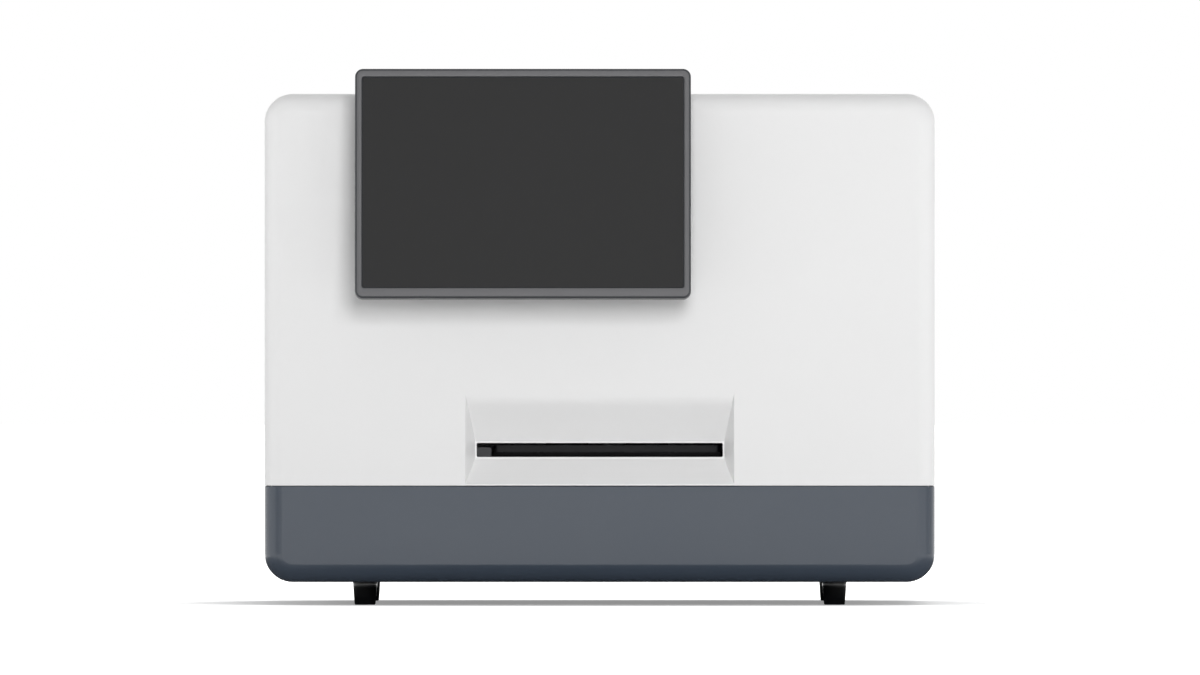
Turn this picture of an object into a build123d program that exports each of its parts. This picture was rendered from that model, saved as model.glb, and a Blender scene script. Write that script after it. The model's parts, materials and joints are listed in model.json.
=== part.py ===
from build123d import *
import math
import os

# Five-slide digital slide scanner: a bench-top housing with a tilting touch display on its
# front, a tray slot in a sloped recess, and a scanning mechanism inside.
# Millimetres, +X to the right as seen from the front, +Y to the back, +Z up.
# The pieces are worked out with the housing's front face at Y 0, and moved together at the
# end so that the origin is the middle of the whole scanner's footprint, on the bench.

# ---------------------------------------------------------------- driving dimensions
# Housing
body_width = 490.0
body_depth = 420.0
body_height = 357.0
corner_radius = 20.5
front_edge_radius = 13.0
rear_edge_radius = 2.5
wall = 4.0
base_height = 70.0
seam_gap = 0.6
fascia_depth = 62.0
lip_reach = 6.0
lip_wall = 2.0
lip_root = 4.0
lip_fit = 0.3

# Feet and the plate that carries the mechanism
foot_height = 17.0
foot_top_radius = 9.1
foot_bottom_radius = 7.7
foot_spacing_x = 344.0
foot_inset_y = 58.0
foot_edge_round = 0.8
stud_radius = 3.0
stud_embed = 9.0
stud_clearance = 0.3
nut_across_flats = 10.0
nut_height = 5.0
boss_radius = 9.0
boss_height = 6.0
chassis_thickness = 8.0
chassis_margin = 10.0
chassis_corner = 8.0

# Tray slot and the sloped recess round it
recess_width = 196.5
recess_height = 66.5
recess_rise = 1.8
recess_depth = 22.0
recess_wall = 3.0
recess_relief = 3.0
slot_width = 180.0
slot_height = 10.2
slot_rise = 21.5
slot_rim = 1.2
slot_corner = 1.0
baffle_depth = 9.0
baffle_wall = 2.5
baffle_step = 1.0
guide_width = 10.7
guide_height = 7.0
guide_round = 2.0

# Slide tray and the carrier that pushes it out
slide_count = 5
slide_width = 26.0
slide_length = 76.0
slide_thickness = 1.0
slide_pitch = 32.0
slide_fit = 0.25
tray_side_clearance = 1.5
tray_length = 96.0
tray_thickness = 5.0
tray_setback = 6.0
tray_handle = 11.0
tray_corner = 3.0
tray_grip_radius = 2.5
tray_grip_length = 80.0
tray_grip_setback = 4.0
tray_grip_rise = 1.0
tray_pocket_depth = 1.6
tray_seat_gap = 0.2
tray_rib_width = 3.0
tray_rib_height = 1.4
tray_rib_clearance = 0.3
window_width = 22.0
window_length = 56.0
window_setback = 4.0
finger_notch_radius = 7.0
finger_notch_reach = 5.0
spring_thickness = 0.4
spring_height = 1.4
spring_span = 15.0
spring_bow = 1.6
tongue_clearance = 0.9
tongue_thickness = 2.4
tongue_setback = 14.0
tongue_window_margin = 1.5
wing_thickness = 5.0
wing_depth = 38.0
wing_gap = 8.0
wing_edge = 5.0
fence_thickness = 3.0
fence_height = 4.0
fence_width = 120.0
wing_hole_radius = 6.0
eject_travel = 108.0
scan_travel = 40.0

# Linear guides
rail_nut_gap = 7.0
rail_width = 15.0
rail_height = 9.0
rail_waist = 1.8
guide_gap = 0.3
block_width = 34.0
block_web = 5.2
block_skirt = 6.8
pedestal_width = 26.0
pedestal_arches = 3
pedestal_arch_width = 40.0
pedestal_arch_pitch = 54.0
pedestal_arch_round = 8.0
pedestal_sill = 10.0
pedestal_crown = 12.0
cross_rail_width = 12.0
cross_rail_height = 8.0
cross_block_width = 28.0
cross_block_length = 36.0
cross_block_web = 6.0
cross_block_gap = 2.5
cross_saddle_inset = 3.0
cross_rail_margin = 12.0

# Drives
screw_radius = 4.0
focus_screw_radius = 2.5
screw_play = 0.1
nut_length = 24.0
nut_wall = 5.0
tray_motor_gap = 6.0
tray_screw_drop = 13.0
motor_size = 42.0
motor_length = 34.0
small_motor_size = 28.0
small_motor_length = 32.0
motor_corner = 4.0
motor_waist = 0.6
motor_boss_play = 0.1
motor_boss_radius = 11.0
motor_boss_height = 2.0
motor_shaft_depth = 20.0
bracket_thickness = 4.0
cross_bracket_reach = 14.0
end_bearing_length = 10.0
end_bearing_wall = 6.0

# Gantry and the optics head that rides on it
scan_half_width = 64.0
head_plate_width = 90.0
head_plate_thickness = 12.0
head_clearance = 6.0
head_bottom_clearance = 15.0
head_top_rise = 28.0
head_corner = 6.0
head_window_radius = 14.0
head_window_pitch = 33.5
head_window_lift = 4.0
beam_height = 60.0
beam_depth = 40.0
beam_wall = 5.0
beam_lift = 17.0
post_width = 30.0
post_inset = 26.0
post_wall = 9.0
post_pocket_round = 6.0
arm_width = 56.0
upper_arm_height = 26.0
upper_arm_lift = 28.0
arm_pocket_end = 10.0
arm_pocket_wall = 6.0
arm_pocket_round = 4.0
lower_arm_width = 48.0
lower_arm_height = 10.0
lower_arm_round = 8.0
gusset_thickness = 8.0
gusset_length = 28.0
gusset_height = 32.0
optical_axis_depth = 108.0
cross_screw_lift = 16.0
cross_screw_setback = 12.0

# Focus stage and optics
focus_base_thickness = 12.0
focus_base_width = 60.0
focus_base_height = 72.0
focus_rail_width = 7.0
focus_rail_height = 6.0
focus_rail_spread = 40.0
focus_plate_thickness = 6.3
focus_plate_height = 48.0
focus_plate_skirt = 3.0
focus_up = 3.0
focus_down = 4.0
focus_screw_offset = 36.0
focus_lug_height = 12.0
focus_lug_lift = 4.0
focus_lug_wall = 3.0
focus_ledge_overlap = 8.0
focus_screw_tip = 6.0
objective_clearance = 6.0
objective_radius = 13.0
objective_length = 40.0
objective_tip_radius = 5.0
objective_nose_flare = 1.5
objective_nose_height = 2.0
objective_waist = 2.5
objective_steps = (0.3, 0.42, 0.6, 0.9)
objective_thread_radius = 10.0
holder_thickness = 9.0
holder_wall = 7.0
tube_radius = 18.0
tube_length = 73.0
tube_skirt_radius = 14.0
tube_skirt_length = 14.0
tube_gap = 3.0
tube_clamp_height = 11.0
tube_clamp_wall = 6.0
tube_wall = 3.0
tube_arm_width = 32.0
camera_size = 44.0
camera_height = 46.0
camera_fin_pitch = 6.0
camera_fin_depth = 3.0
camera_fin_start = 8.0
camera_plain_height = 12.0
camera_corner = 3.0
lamp_size = 40.0
lamp_height = 16.0
lamp_fin_pitch = 6.5
lamp_fin_depth = 7.0
lamp_base = 3.0
lamp_margin = 4.0
condenser_radius = 15.0
condenser_height = 27.0
condenser_lens_radius = 10.0
condenser_lens_rise = 2.5

# Display on the front
display_width = 245.0
display_height = 168.0
display_depth = 20.0
display_corner = 5.8
display_offset_x = -56.0
display_above_hinge = 54.6
display_tilt = 5.0
display_gap = 20.0
display_edge_round = 1.0
bezel_depth = 9.0
bezel_side = 4.8
bezel_top = 5.6
bezel_bottom = 7.3
bezel_lip = 2.0
bezel_window_corner = 2.0
display_wall = 2.0
display_seam = 0.3
glass_thickness = 1.8
glass_fit = 0.5
panel_thickness = 5.0
panel_margin = 2.5
display_board_width = 112.0
display_board_height = 80.0
display_board_gap = 3.0
display_spacer_radius = 2.5
display_spacer_inset = 6.0
scaler_size = 22.0
scaler_x = -30.0
scaler_z = 12.0
driver_size = 16.0
driver_x = 22.0
driver_z = 16.0
socket_length = 30.0
socket_width = 12.0
socket_offset_x = -10.0
socket_offset_z = -22.0
inverter_size = 15.0
inverter_x = 38.0
inverter_z = -18.0
display_chip_height = 2.0
board_thickness = 1.6
back_chamfer = 5.0
vent_slot_width = 2.5
vent_slot_pitch = 6.0
vent_slot_count = 20
vent_slot_height = 14.0
vent_slot_rise = 26.0
back_boss_radius = 4.5

# Hinge between the display and the housing
hinge_height = 335.0
hinge_standoff = 10.0
hinge_spread = 100.0
hinge_pin_radius = 3.0
hinge_play = 0.05
knuckle_radius = 6.5
knuckle_width = 16.0
ear_width = 4.0
hinge_gap = 0.3
hinge_plate_width = 150.0
hinge_plate_height = 44.0
hinge_plate_thickness = 3.0
hinge_screw_radius = 2.0
hinge_screw_head_radius = 3.6
hinge_screw_head_height = 2.2
hinge_screw_length = 9.0
screw_clearance = 0.2
thread_fit = 0.05
cable_hole_radius = 9.0
grommet_flange = 2.5
grommet_lip = 1.5
grommet_bore = 3.5
grommet_fit = 0.1
hinge_screw_spread_x = 132.0
hinge_screw_spread_z = 28.0

# Electronics and the back of the housing
panel_setback = 3.0
panel_sheet = 1.5
panel_fit = 0.4
panel_screw_rise = 40.0
panel_screw_drop = 60.0
flange_width = 10.0
flange_thickness = 3.0
screw_m3_radius = 1.5
screw_m3_head_radius = 3.0
screw_m3_head_height = 1.8
screw_m3_length = 6.0
fan_size = 80.0
fan_depth = 25.0
fan_bore_radius = 38.0
fan_corner = 5.0
fan_x = 130.0
fan_z = 250.0
fan_hub_radius = 17.0
fan_strut_width = 4.0
fan_shaft_length = 15.0
fan_blade_radius = 36.5
fan_blade_count = 7
fan_blade_thickness = 1.8
fan_blade_chord = 17.0
fan_blade_pitch = 38.0
fan_gap = 0.8
fan_back = 4.0
fan_shaft_radius = 2.0
fan_screw_spread = 71.5
grille_ring_count = 4
grille_ring_width = 5.0
grille_ring_rib = 2.2
grille_spoke = 4.0
vent_count = 14
vent_length = 120.0
vent_width = 4.0
vent_pitch = 10.0
vent_x = -115.0
vent_z = 250.0
supply_width = 140.0
supply_depth = 62.0
supply_height = 42.0
supply_corner = 1.5
supply_x = -142.0
supply_lift = 8.0
supply_foot_inset = 22.0
supply_slots = 9
terminal_reach = 9.0
terminal_height = 18.0
terminal_lift = 2.0
terminal_margin = 10.0
board_width = 170.0
board_depth = 94.0
board_x = 35.0
board_lift = 10.0
board_plug_x = 74.0
board_plug_width = 8.0
board_plug_length = 44.0
board_plug_height = 12.0
board_rear_gap = 16.0
sink_size = 40.0
sink_x = -40.0
sink_y = 45.0
sink_base = 6.0
sink_height = 20.0
sink_fin_count = 6
sink_fin_pitch = 7.0
sink_fin_width = 2.5
processor_size = 30.0
processor_x = 20.0
processor_y = 30.0
processor_height = 2.5
memory_size = 18.0
memory_x = 55.0
memory_y = 26.0
memory_height = 2.0
header_length = 40.0
header_width = 8.0
header_x = -5.0
header_y = 78.0
header_height = 8.0
capacitor_count = 4
capacitor_radius = 4.0
capacitor_height = 14.0
capacitor_pitch = 11.0
capacitor_x = 66.0
capacitor_y = 48.0
standoff_radius = 3.0
standoff_inset = 8.0
inlet_x = -140.0
inlet_z = 55.0
inlet_flange_width = 62.0
inlet_flange_height = 30.0
inlet_flange = 2.5
inlet_socket_width = 24.2
inlet_socket_height = 16.4
inlet_socket_depth = 17.0
inlet_socket_chamfer = 4.5
inlet_wall = 2.0
inlet_part_gap = 5.0
inlet_cut_clearance = 0.6
inlet_pin_width = 2.0
inlet_pin_height = 4.0
inlet_pin_length = 12.0
inlet_pin_spread = 14.0
inlet_pin_rise = 2.0
rocker_width = 12.0
rocker_height = 20.0
rocker_depth = 9.0
rocker_crown = 2.2
rocker_edge = 1.5
rocker_angle = 8.0
rocker_pin_radius = 1.2
rocker_pin_end_play = 0.2
rocker_axis_depth = 3.5
rocker_well_depth = 15.0
rocker_gap = 0.7
port_gap = 0.4
ethernet_width = 16.0
ethernet_height = 13.5
ethernet_depth = 21.0
ethernet_x = 28.0
ethernet_mouth_width = 11.7
ethernet_mouth_depth = 13.0
ethernet_floor = 1.6
ethernet_ceiling = 3.3
usb_width = 14.5
usb_height = 15.6
usb_depth = 18.0
usb_x = 54.0
usb_mouth_width = 12.4
usb_mouth_height = 5.2
usb_mouth_depth = 11.0
usb_floor = 1.2
usb_tongue_width = 11.0
usb_tongue_height = 1.8
usb_tongue_lift = 1.4
harness_radius = 2.5

# ---------------------------------------------------------------- derived places
body_bottom = foot_height
body_top = body_bottom + body_height
body_middle = body_bottom + body_height / 2
split = body_bottom + base_height
cover_bottom = split + seam_gap
floor_top = body_bottom + wall
chassis_bottom = floor_top + boss_height
chassis_top = chassis_bottom + chassis_thickness
foot_xs = (-foot_spacing_x / 2, foot_spacing_x / 2)
foot_ys = (foot_inset_y, body_depth - foot_inset_y)

recess_low = split + recess_rise
recess_high = recess_low + recess_height
slot_low = split + slot_rise
slot_high = slot_low + slot_height
slot_middle = (slot_low + slot_high) / 2
slot_back = recess_depth + recess_wall
baffle_back = slot_back + baffle_depth

tray_width = slot_width - guide_width - 2 * tray_side_clearance
tray_x = guide_width / 2
tongue_low = slot_low + tongue_clearance
tongue_high = tongue_low + tongue_thickness
tray_low = tongue_high + tray_seat_gap
tray_high = tray_low + tray_thickness
tray_front = baffle_back + tray_setback
tray_rear = tray_front + tray_length
slide_front = tray_front + tray_handle
slide_rear = slide_front + slide_length
slide_low = tray_high - tray_pocket_depth
window_middle = (slide_front + slide_rear) / 2 + window_setback
slide_xs = [tray_x + slide_pitch * (i - (slide_count - 1) / 2) for i in range(slide_count)]
wing_low = tongue_high - wing_thickness
wing_front = tray_rear + wing_gap
wing_rear = wing_front + wing_depth
wing_middle = (wing_front + wing_rear) / 2
rail_top = wing_low - block_web - guide_gap
rail_bottom = rail_top - rail_height
post_inner_x = body_width / 2 - wall - post_inset - post_width
tray_screw_offset = post_inner_x - tray_motor_gap - motor_size / 2
nut_half = screw_radius + nut_wall
rail_x = tray_screw_offset - nut_half - rail_nut_gap - block_width / 2
rail_xs = (-rail_x, rail_x)
tray_screw_z = wing_low - tray_screw_drop
tray_bracket_front = wing_rear + scan_travel + head_clearance
rail_front = wing_front - eject_travel - 2
rail_rear = wing_rear + scan_travel + 2

head_x = tray_x
head_front = wing_rear + scan_travel + head_clearance
head_back = head_front + head_plate_thickness
cross_rail_front = head_back + cross_block_web + guide_gap
beam_front = cross_rail_front + cross_rail_height
beam_back = beam_front + beam_depth
beam_bottom = slot_high + beam_lift
beam_top = beam_bottom + beam_height
cross_rail_zs = (beam_bottom + cross_rail_margin, beam_top - cross_rail_margin)
head_bottom = chassis_top + head_bottom_clearance
head_top = beam_top + head_top_rise
cross_screw_y = head_back + cross_screw_setback
cross_screw_z = beam_top + cross_screw_lift
cross_reach = scan_half_width + head_plate_width / 2 + 4

upper_arm_bottom = tray_high + upper_arm_lift
upper_arm_top = upper_arm_bottom + upper_arm_height
objective_tip = tray_high + objective_clearance
objective_top = objective_tip + objective_length
holder_top = objective_top + holder_thickness
focus_rail_front = optical_axis_depth + objective_radius + holder_wall + focus_plate_thickness + 16
focus_plate_front = focus_rail_front - guide_gap - focus_plate_thickness
focus_plate_back = focus_rail_front + focus_plate_skirt
focus_base_front = focus_rail_front + focus_rail_height
focus_base_back = focus_base_front + focus_base_thickness
focus_base_bottom = upper_arm_bottom - 10
focus_base_top = focus_base_bottom + focus_base_height
focus_plate_bottom = objective_top - 22
focus_plate_top = focus_plate_bottom + focus_plate_height
focus_screw_x = head_x + focus_screw_offset
focus_screw_y = focus_plate_front + 6
tube_bottom = holder_top + focus_up + tube_gap
tube_top = tube_bottom + tube_length

display_x = display_offset_x
hinge_y = -hinge_standoff
display_back = -display_gap
display_front = display_back - display_depth
display_top = hinge_height + display_above_hinge
display_bottom = display_top - display_height
display_middle = (display_top + display_bottom) / 2
window_width_display = display_width - 2 * bezel_side
window_height_display = display_height - bezel_top - bezel_bottom
window_middle_display = display_middle + (bezel_bottom - bezel_top) / 2
hinge_xs = (display_x - hinge_spread / 2, display_x + hinge_spread / 2)
hinge_axis = Axis((0, hinge_y, hinge_height), (-1, 0, 0))

socket_shroud_width = inlet_socket_width + 2 * inlet_wall
socket_shroud_height = inlet_socket_height + 2 * inlet_wall
well_width = rocker_width + 2 * rocker_gap
well_height = rocker_height + 2 * rocker_gap
well_shroud_width = well_width + 2 * inlet_wall
well_shroud_height = well_height + 2 * inlet_wall
socket_x = inlet_x - (well_shroud_width + inlet_part_gap) / 2
rocker_x = inlet_x + (socket_shroud_width + inlet_part_gap) / 2
inlet_back = body_depth + inlet_flange
rocker_axis_y = inlet_back - rocker_axis_depth
socket_floor = inlet_back - inlet_socket_depth
socket_rear = socket_floor - inlet_wall

panel_back = body_depth - panel_setback
panel_front = panel_back - panel_sheet
supply_low = chassis_top + supply_lift
board_low = chassis_top + board_lift
board_high = board_low + board_thickness
board_rear = body_depth - wall - board_rear_gap
board_front = board_rear - board_depth
supply_y = (beam_back + socket_rear) / 2

tilt = math.radians(display_tilt)
display_reach = (
    hinge_standoff
    + (display_gap + display_depth - hinge_standoff) * math.cos(tilt)
    + (display_height - display_above_hinge) * math.sin(tilt)
)
front_y = -(body_depth + inlet_flange - display_reach) / 2


# ---------------------------------------------------------------- small makers
def block(x, y, z):
    """A box between a low and a high plane on each axis."""
    spans = (x, y, z)
    centre = [(low + high) / 2 for low, high in spans]
    size = [high - low for low, high in spans]
    return Pos(*centre) * Box(*size)


def about(middle, width):
    """The low and high planes of a width centred on a middle."""
    return (middle - width / 2, middle + width / 2)


def rod(radius, start, end):
    """A round bar from one point to another."""
    run = Vector(*end) - Vector(*start)
    seat = Plane(origin=start, z_dir=run.normalized())
    return seat * Cylinder(radius, run.length, align=(Align.CENTER, Align.CENTER, Align.MIN))


def front_plane(y, x=0.0, z=0.0):
    """A sketch plane that looks at the front of the scanner: its own Y is up, its normal is -Y."""
    return Plane(origin=(x, y, z), x_dir=(1, 0, 0), z_dir=(0, -1, 0))


def slab(sketch, y_front, y_back, x=0.0, z=0.0):
    """A front-view outline given thickness from a front plane to a back plane."""
    return extrude(front_plane(y_back, x, z) * sketch, y_back - y_front)


def joined(pieces):
    """Several shapes fused into one."""
    whole = pieces[0]
    for piece in pieces[1:]:
        whole = whole + piece
    return whole


def group(pieces):
    """Several separate solids kept as one sub-part."""
    solids = []
    for piece in pieces:
        solids.extend(piece.solids())
    return Compound(solids)


def body_form(inset, y_back=body_depth):
    """The housing's outer form, taken in by an inset on every side but the back."""
    outline = RectangleRounded(
        body_width - 2 * inset, body_height - 2 * inset, corner_radius - inset
    )
    form = slab(outline, inset, y_back, z=body_middle)
    front = form.faces().sort_by(Axis.Y)[0]
    if inset < front_edge_radius:
        form = fillet(front.edges(), front_edge_radius - inset)
    return form


def body_ring(outer_inset, inner_inset, y, z):
    """A ring that follows the housing between two insets, inside a range of Y and Z."""
    ring = body_form(outer_inset) - body_form(inner_inset, body_depth + 1)
    return ring & block((-body_width, body_width), y, z)


def screw(radius, length, head_radius, head_height, seat, direction):
    """A pan-head screw: its head stands on the seat, its shank runs along the direction."""
    along = Vector(*direction).normalized()
    start = Vector(*seat)
    head_end = start - along * head_height
    shank_end = start + along * length
    return rod(radius, tuple(start), tuple(shank_end)) + rod(
        head_radius, tuple(head_end), tuple(start)
    )


# ---------------------------------------------------------------- housing
def recess_tub(y_front):
    """The sloped walls round the tray slot, before they are hollowed."""
    grow = 2 * recess_wall
    mouth = Rectangle(recess_width + grow, recess_height + grow)
    throat = Rectangle(slot_width + 2 * slot_rim + grow, slot_height + 2 * slot_rim + grow)
    return loft(
        [
            front_plane(y_front, z=(recess_low + recess_high) / 2) * mouth,
            front_plane(slot_back, z=slot_middle) * throat,
        ]
    )


def recess_hollow():
    """The open space of the recess and of the slot behind it."""
    mouth = Rectangle(recess_width, recess_height)
    throat = Rectangle(slot_width + 2 * slot_rim, slot_height + 2 * slot_rim)
    hollow = loft(
        [
            front_plane(0, z=(recess_low + recess_high) / 2) * mouth,
            front_plane(recess_depth, z=slot_middle) * throat,
        ]
    )
    slot = RectangleRounded(slot_width, slot_height, slot_corner)
    return hollow + slab(slot, recess_depth - 1, slot_back + 1, z=slot_middle)


def make_front_fascia():
    shell = body_form(0) - body_form(wall, body_depth + 1)
    shell = shell & block((-body_width, body_width), (-1, fascia_depth), (0, body_top + 1))
    shell = shell + recess_tub(0) - recess_hollow()
    shell = shell & block(
        (-body_width, body_width), (-1, fascia_depth), (cover_bottom, body_top + 1)
    )
    shell = shell - bracket_screw_holes(hinge_screw_radius + thread_fit, -1, wall + 1)
    return shell - cable_hole(-1, wall + 1)


def make_hood():
    outer = body_form(0)
    rear_rim = outer.faces().sort_by(Axis.Y)[-1].edges()
    outer = fillet(rear_rim, rear_edge_radius)
    shell = outer - body_form(wall, body_depth + 1)
    front = fascia_depth + seam_gap
    shell = shell & block(
        (-body_width, body_width), (front, body_depth + 1), (cover_bottom, body_top + 1)
    )
    above_base_lip = cover_bottom + lip_reach + 1
    upward = (above_base_lip, body_top)
    lip = body_ring(
        wall + lip_fit, wall + lip_fit + lip_wall, (fascia_depth - lip_reach, front + lip_root), upward
    )
    root = body_ring(wall - 1, wall + lip_fit + lip_wall, (front, front + lip_root), upward)
    flange = body_ring(
        wall - 1, wall + flange_width, (panel_front - flange_thickness, panel_front), upward
    )
    shell = shell + lip + root + flange
    thread = screw_m3_radius + thread_fit
    thread_front, thread_back = panel_front - flange_thickness - 1, panel_front + 1
    threads = [
        rod(thread, (x, thread_front, z), (x, thread_back, z)) for x, z in panel_screw_places()
    ]
    return shell - joined(threads)


def panel_screw_places():
    """Where the back panel is screwed to the hood's flange."""
    side_x = body_width / 2 - wall - flange_width / 2
    top_z = body_top - wall - flange_width / 2
    low_z = cover_bottom + panel_screw_rise
    middle_z = (low_z + top_z) / 2
    sides = [(sx * side_x, z) for sx in (-1, 1) for z in (low_z, middle_z, top_z - panel_screw_drop)]
    top = [(x, top_z) for x in about(0, body_width / 2)]
    return sides + top


def make_base_shell():
    outer = body_form(0)
    rear_rim = outer.faces().sort_by(Axis.Y)[-1].edges()
    outer = fillet(rear_rim, rear_edge_radius)
    below = block((-body_width, body_width), (-1, body_depth + 1), (0, split))
    cavity = body_form(wall) & block(
        (-body_width, body_width), (0, body_depth - wall), (0, body_top)
    )
    shell = (outer & below) - cavity
    lip_y = (0, body_depth - wall - lip_wall)
    lip = body_ring(
        wall + lip_fit, wall + lip_fit + lip_wall, lip_y, (split - lip_root, cover_bottom + lip_reach)
    )
    root = body_ring(wall - 1, wall + lip_fit + lip_wall, lip_y, (split - lip_root, split))
    relief_x = about(0, recess_width + 2 * (recess_wall + recess_relief))
    recess_space = block(relief_x, (0, recess_depth), (split, recess_high))
    shell = shell + root + (lip - recess_space)
    for x in foot_xs:
        for y in foot_ys:
            shell = shell + rod(boss_radius, (x, y, floor_top - 1), (x, y, chassis_bottom))
            shell = shell - stud_hole(x, y, body_bottom, chassis_bottom)
    for i in range(vent_count):
        x = (i - (vent_count - 1) / 2) * vent_pitch
        slot = block(about(x, vent_width), about(body_depth / 2, vent_length), (0, floor_top + 1))
        shell = shell - slot
    return shell - back_cutouts()


def back_cutouts():
    """The holes in the base's back wall for the power inlet and the data ports."""
    through = (body_depth - wall - 1, body_depth + 1)
    width = socket_shroud_width + inlet_part_gap + well_shroud_width + 2 * inlet_cut_clearance
    height = max(socket_shroud_height, well_shroud_height) + 2 * inlet_cut_clearance
    cuts = [block(about(inlet_x, width), through, about(inlet_z, height))]
    for x, port_width, port_height in port_sizes():
        z = (board_high - port_gap, board_high + port_height + port_gap)
        cuts.append(block(about(x, port_width + 2 * port_gap), through, z))
    return joined(cuts)


def port_sizes():
    return [(ethernet_x, ethernet_width, ethernet_height), (usb_x, usb_width, usb_height)]


def make_rear_panel():
    inset = wall + panel_fit
    outline = RectangleRounded(
        body_width - 2 * inset, body_height - 2 * inset, corner_radius - inset
    )
    sheet = slab(outline, panel_front, panel_back, z=body_middle)
    sheet = sheet & block(
        (-body_width, body_width), (0, body_depth), (cover_bottom + panel_fit, body_top)
    )
    for i in range(vent_count):
        z = vent_z + (i - (vent_count - 1) / 2) * vent_pitch
        slot = SlotOverall(vent_length, vent_width)
        sheet = sheet - slab(slot, panel_front - 1, panel_back + 1, vent_x, z)
    sheet = sheet - slab(fan_grille_slots(), panel_front - 1, panel_back + 1, fan_x, fan_z)
    holes = panel_screw_places() + fan_screw_places()
    bore = screw_m3_radius + screw_clearance
    bores = [rod(bore, (x, panel_front - 1, z), (x, panel_back + 1, z)) for x, z in holes]
    return sheet - joined(bores)


def fan_grille_slots():
    """Concentric curved slots, crossed by four spokes, that let the fan blow out."""
    rings = []
    pitch = grille_ring_width + grille_ring_rib
    for i in range(grille_ring_count):
        outer = fan_bore_radius - 1 - i * pitch
        rings.append(Circle(outer) - Circle(outer - grille_ring_width))
    spokes = Rectangle(2 * fan_bore_radius, grille_spoke) + Rectangle(
        grille_spoke, 2 * fan_bore_radius
    )
    return joined(rings) - Rot(0, 0, 45) * spokes


def stud_hole(x, y, z_low, z_high):
    """The clearance hole that a foot's stud passes through."""
    return rod(stud_radius + stud_clearance, (x, y, z_low - 1), (x, y, z_high + 1))


def make_feet():
    feet = []
    for x in foot_xs:
        for y in foot_ys:
            foot = Pos(x, y, foot_height / 2) * Cone(
                foot_bottom_radius, foot_top_radius, foot_height
            )
            rim = foot.edges().sort_by(Axis.Z)[0]
            foot = fillet(rim, foot_edge_round)
            socket = rod(stud_radius, (x, y, foot_height - stud_embed), (x, y, foot_height + 1))
            feet.append(foot - socket)
    return group(feet)


def make_foot_studs():
    pieces = []
    top = chassis_top + nut_height + 1
    for x in foot_xs:
        for y in foot_ys:
            pieces.append(rod(stud_radius, (x, y, foot_height - stud_embed), (x, y, top)))
            hexagon = Plane(origin=(x, y, chassis_top)) * RegularPolygon(
                nut_across_flats / 2, 6, major_radius=False
            )
            bore = rod(stud_radius, (x, y, chassis_top - 1), (x, y, top + 1))
            pieces.append(extrude(hexagon, nut_height) - bore)
    return group(pieces)


def make_chassis_plate():
    half = body_width / 2 - wall - chassis_margin
    y = (wall + chassis_margin, body_depth - wall - chassis_margin)
    plate = block((-half, half), y, (chassis_bottom, chassis_top))
    plate = fillet(plate.edges().filter_by(Axis.Z), chassis_corner)
    for x in foot_xs:
        for foot_y in foot_ys:
            plate = plate - stud_hole(x, foot_y, chassis_bottom, chassis_top)
    for x, y, top in standoff_places():
        plate = plate + rod(standoff_radius, (x, y, chassis_top - 1), (x, y, top))
    return plate


def standoff_places():
    """Stand-offs under the corners of the main board and of the power supply."""
    under_board = [
        (x, y, board_low)
        for x in about(board_x, board_width - 2 * standoff_inset)
        for y in (board_front + standoff_inset, board_rear - standoff_inset)
    ]
    under_supply = [
        (x, y, supply_low)
        for x in about(supply_x, supply_width - 2 * supply_foot_inset)
        for y in about(supply_y, supply_depth - 2 * standoff_inset)
    ]
    return under_board + under_supply


# ---------------------------------------------------------------- slot, guide and tray
def make_slot_baffle():
    inner = Rectangle(slot_width + 2 * baffle_step, slot_height + 2 * baffle_step)
    grow = 2 * (baffle_step + baffle_wall)
    outer = RectangleRounded(slot_width + grow, slot_height + grow, 2)
    return slab(outer - inner, slot_back, baffle_back, z=slot_middle)


def make_tray_guide():
    left = -slot_width / 2 - baffle_step
    right = -slot_width / 2 + guide_width
    body_z = (slot_low - baffle_step, slot_low + guide_height)
    body = block((left, right), (slot_back, baffle_back), body_z)
    top_right = body.edges().filter_by(Axis.Y).sort_by(Axis.Z)[-2:].sort_by(Axis.X)[-1]
    return fillet(top_right, guide_round)


def tray_rib_xs():
    """The two webs, between pockets, along which the tray is guided on its carrier."""
    reach = slide_pitch * (slide_count - 2)
    return about(tray_x, reach)


def make_slide_tray():
    tray = block(about(tray_x, tray_width), (tray_front, tray_rear), (tray_low, tray_high))
    tray = fillet(tray.edges().filter_by(Axis.Z), tray_corner)
    for x in tray_rib_xs():
        groove_x = about(x, tray_rib_width + 2 * tray_rib_clearance)
        groove_z = (tray_low - 1, tongue_high + tray_rib_height + tray_rib_clearance)
        tray = tray - block(groove_x, (tray_front + tongue_setback - 2, tray_rear + 1), groove_z)
    grip_y, grip_z = tray_front + tray_grip_setback, tray_high + tray_grip_rise
    grip_x = about(tray_x, tray_grip_length)
    tray = tray - rod(tray_grip_radius, (grip_x[0], grip_y, grip_z), (grip_x[1], grip_y, grip_z))
    for x in slide_xs:
        pocket_y = (slide_front - slide_fit, slide_rear + slide_fit)
        pocket_x = about(x, slide_width + 2 * slide_fit)
        tray = tray - block(pocket_x, pocket_y, (slide_low, tray_high + 1))
        window_y = about(window_middle, window_length)
        tray = tray - block(about(x, window_width), window_y, (tray_low - 1, tray_high))
        notch = rod(finger_notch_radius, (x, slide_front, tray_low - 1), (x, slide_front, tray_high + 1))
        reach_y = (slide_front - finger_notch_reach, slide_rear)
        reach = block(pocket_x, reach_y, (tray_low - 1, tray_high + 1))
        tray = tray - (notch & reach)
        relief_y = (slide_rear, slide_rear + spring_bow + spring_thickness + 2 * slide_fit)
        relief = block(about(x, spring_span + 1), relief_y, (slide_low, tray_high + 1))
        tray = tray - relief
    return tray


def make_glass_slides():
    slides = []
    for x in slide_xs:
        z = (slide_low, slide_low + slide_thickness)
        slides.append(block(about(x, slide_width), (slide_front, slide_rear), z))
    return group(slides)


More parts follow.
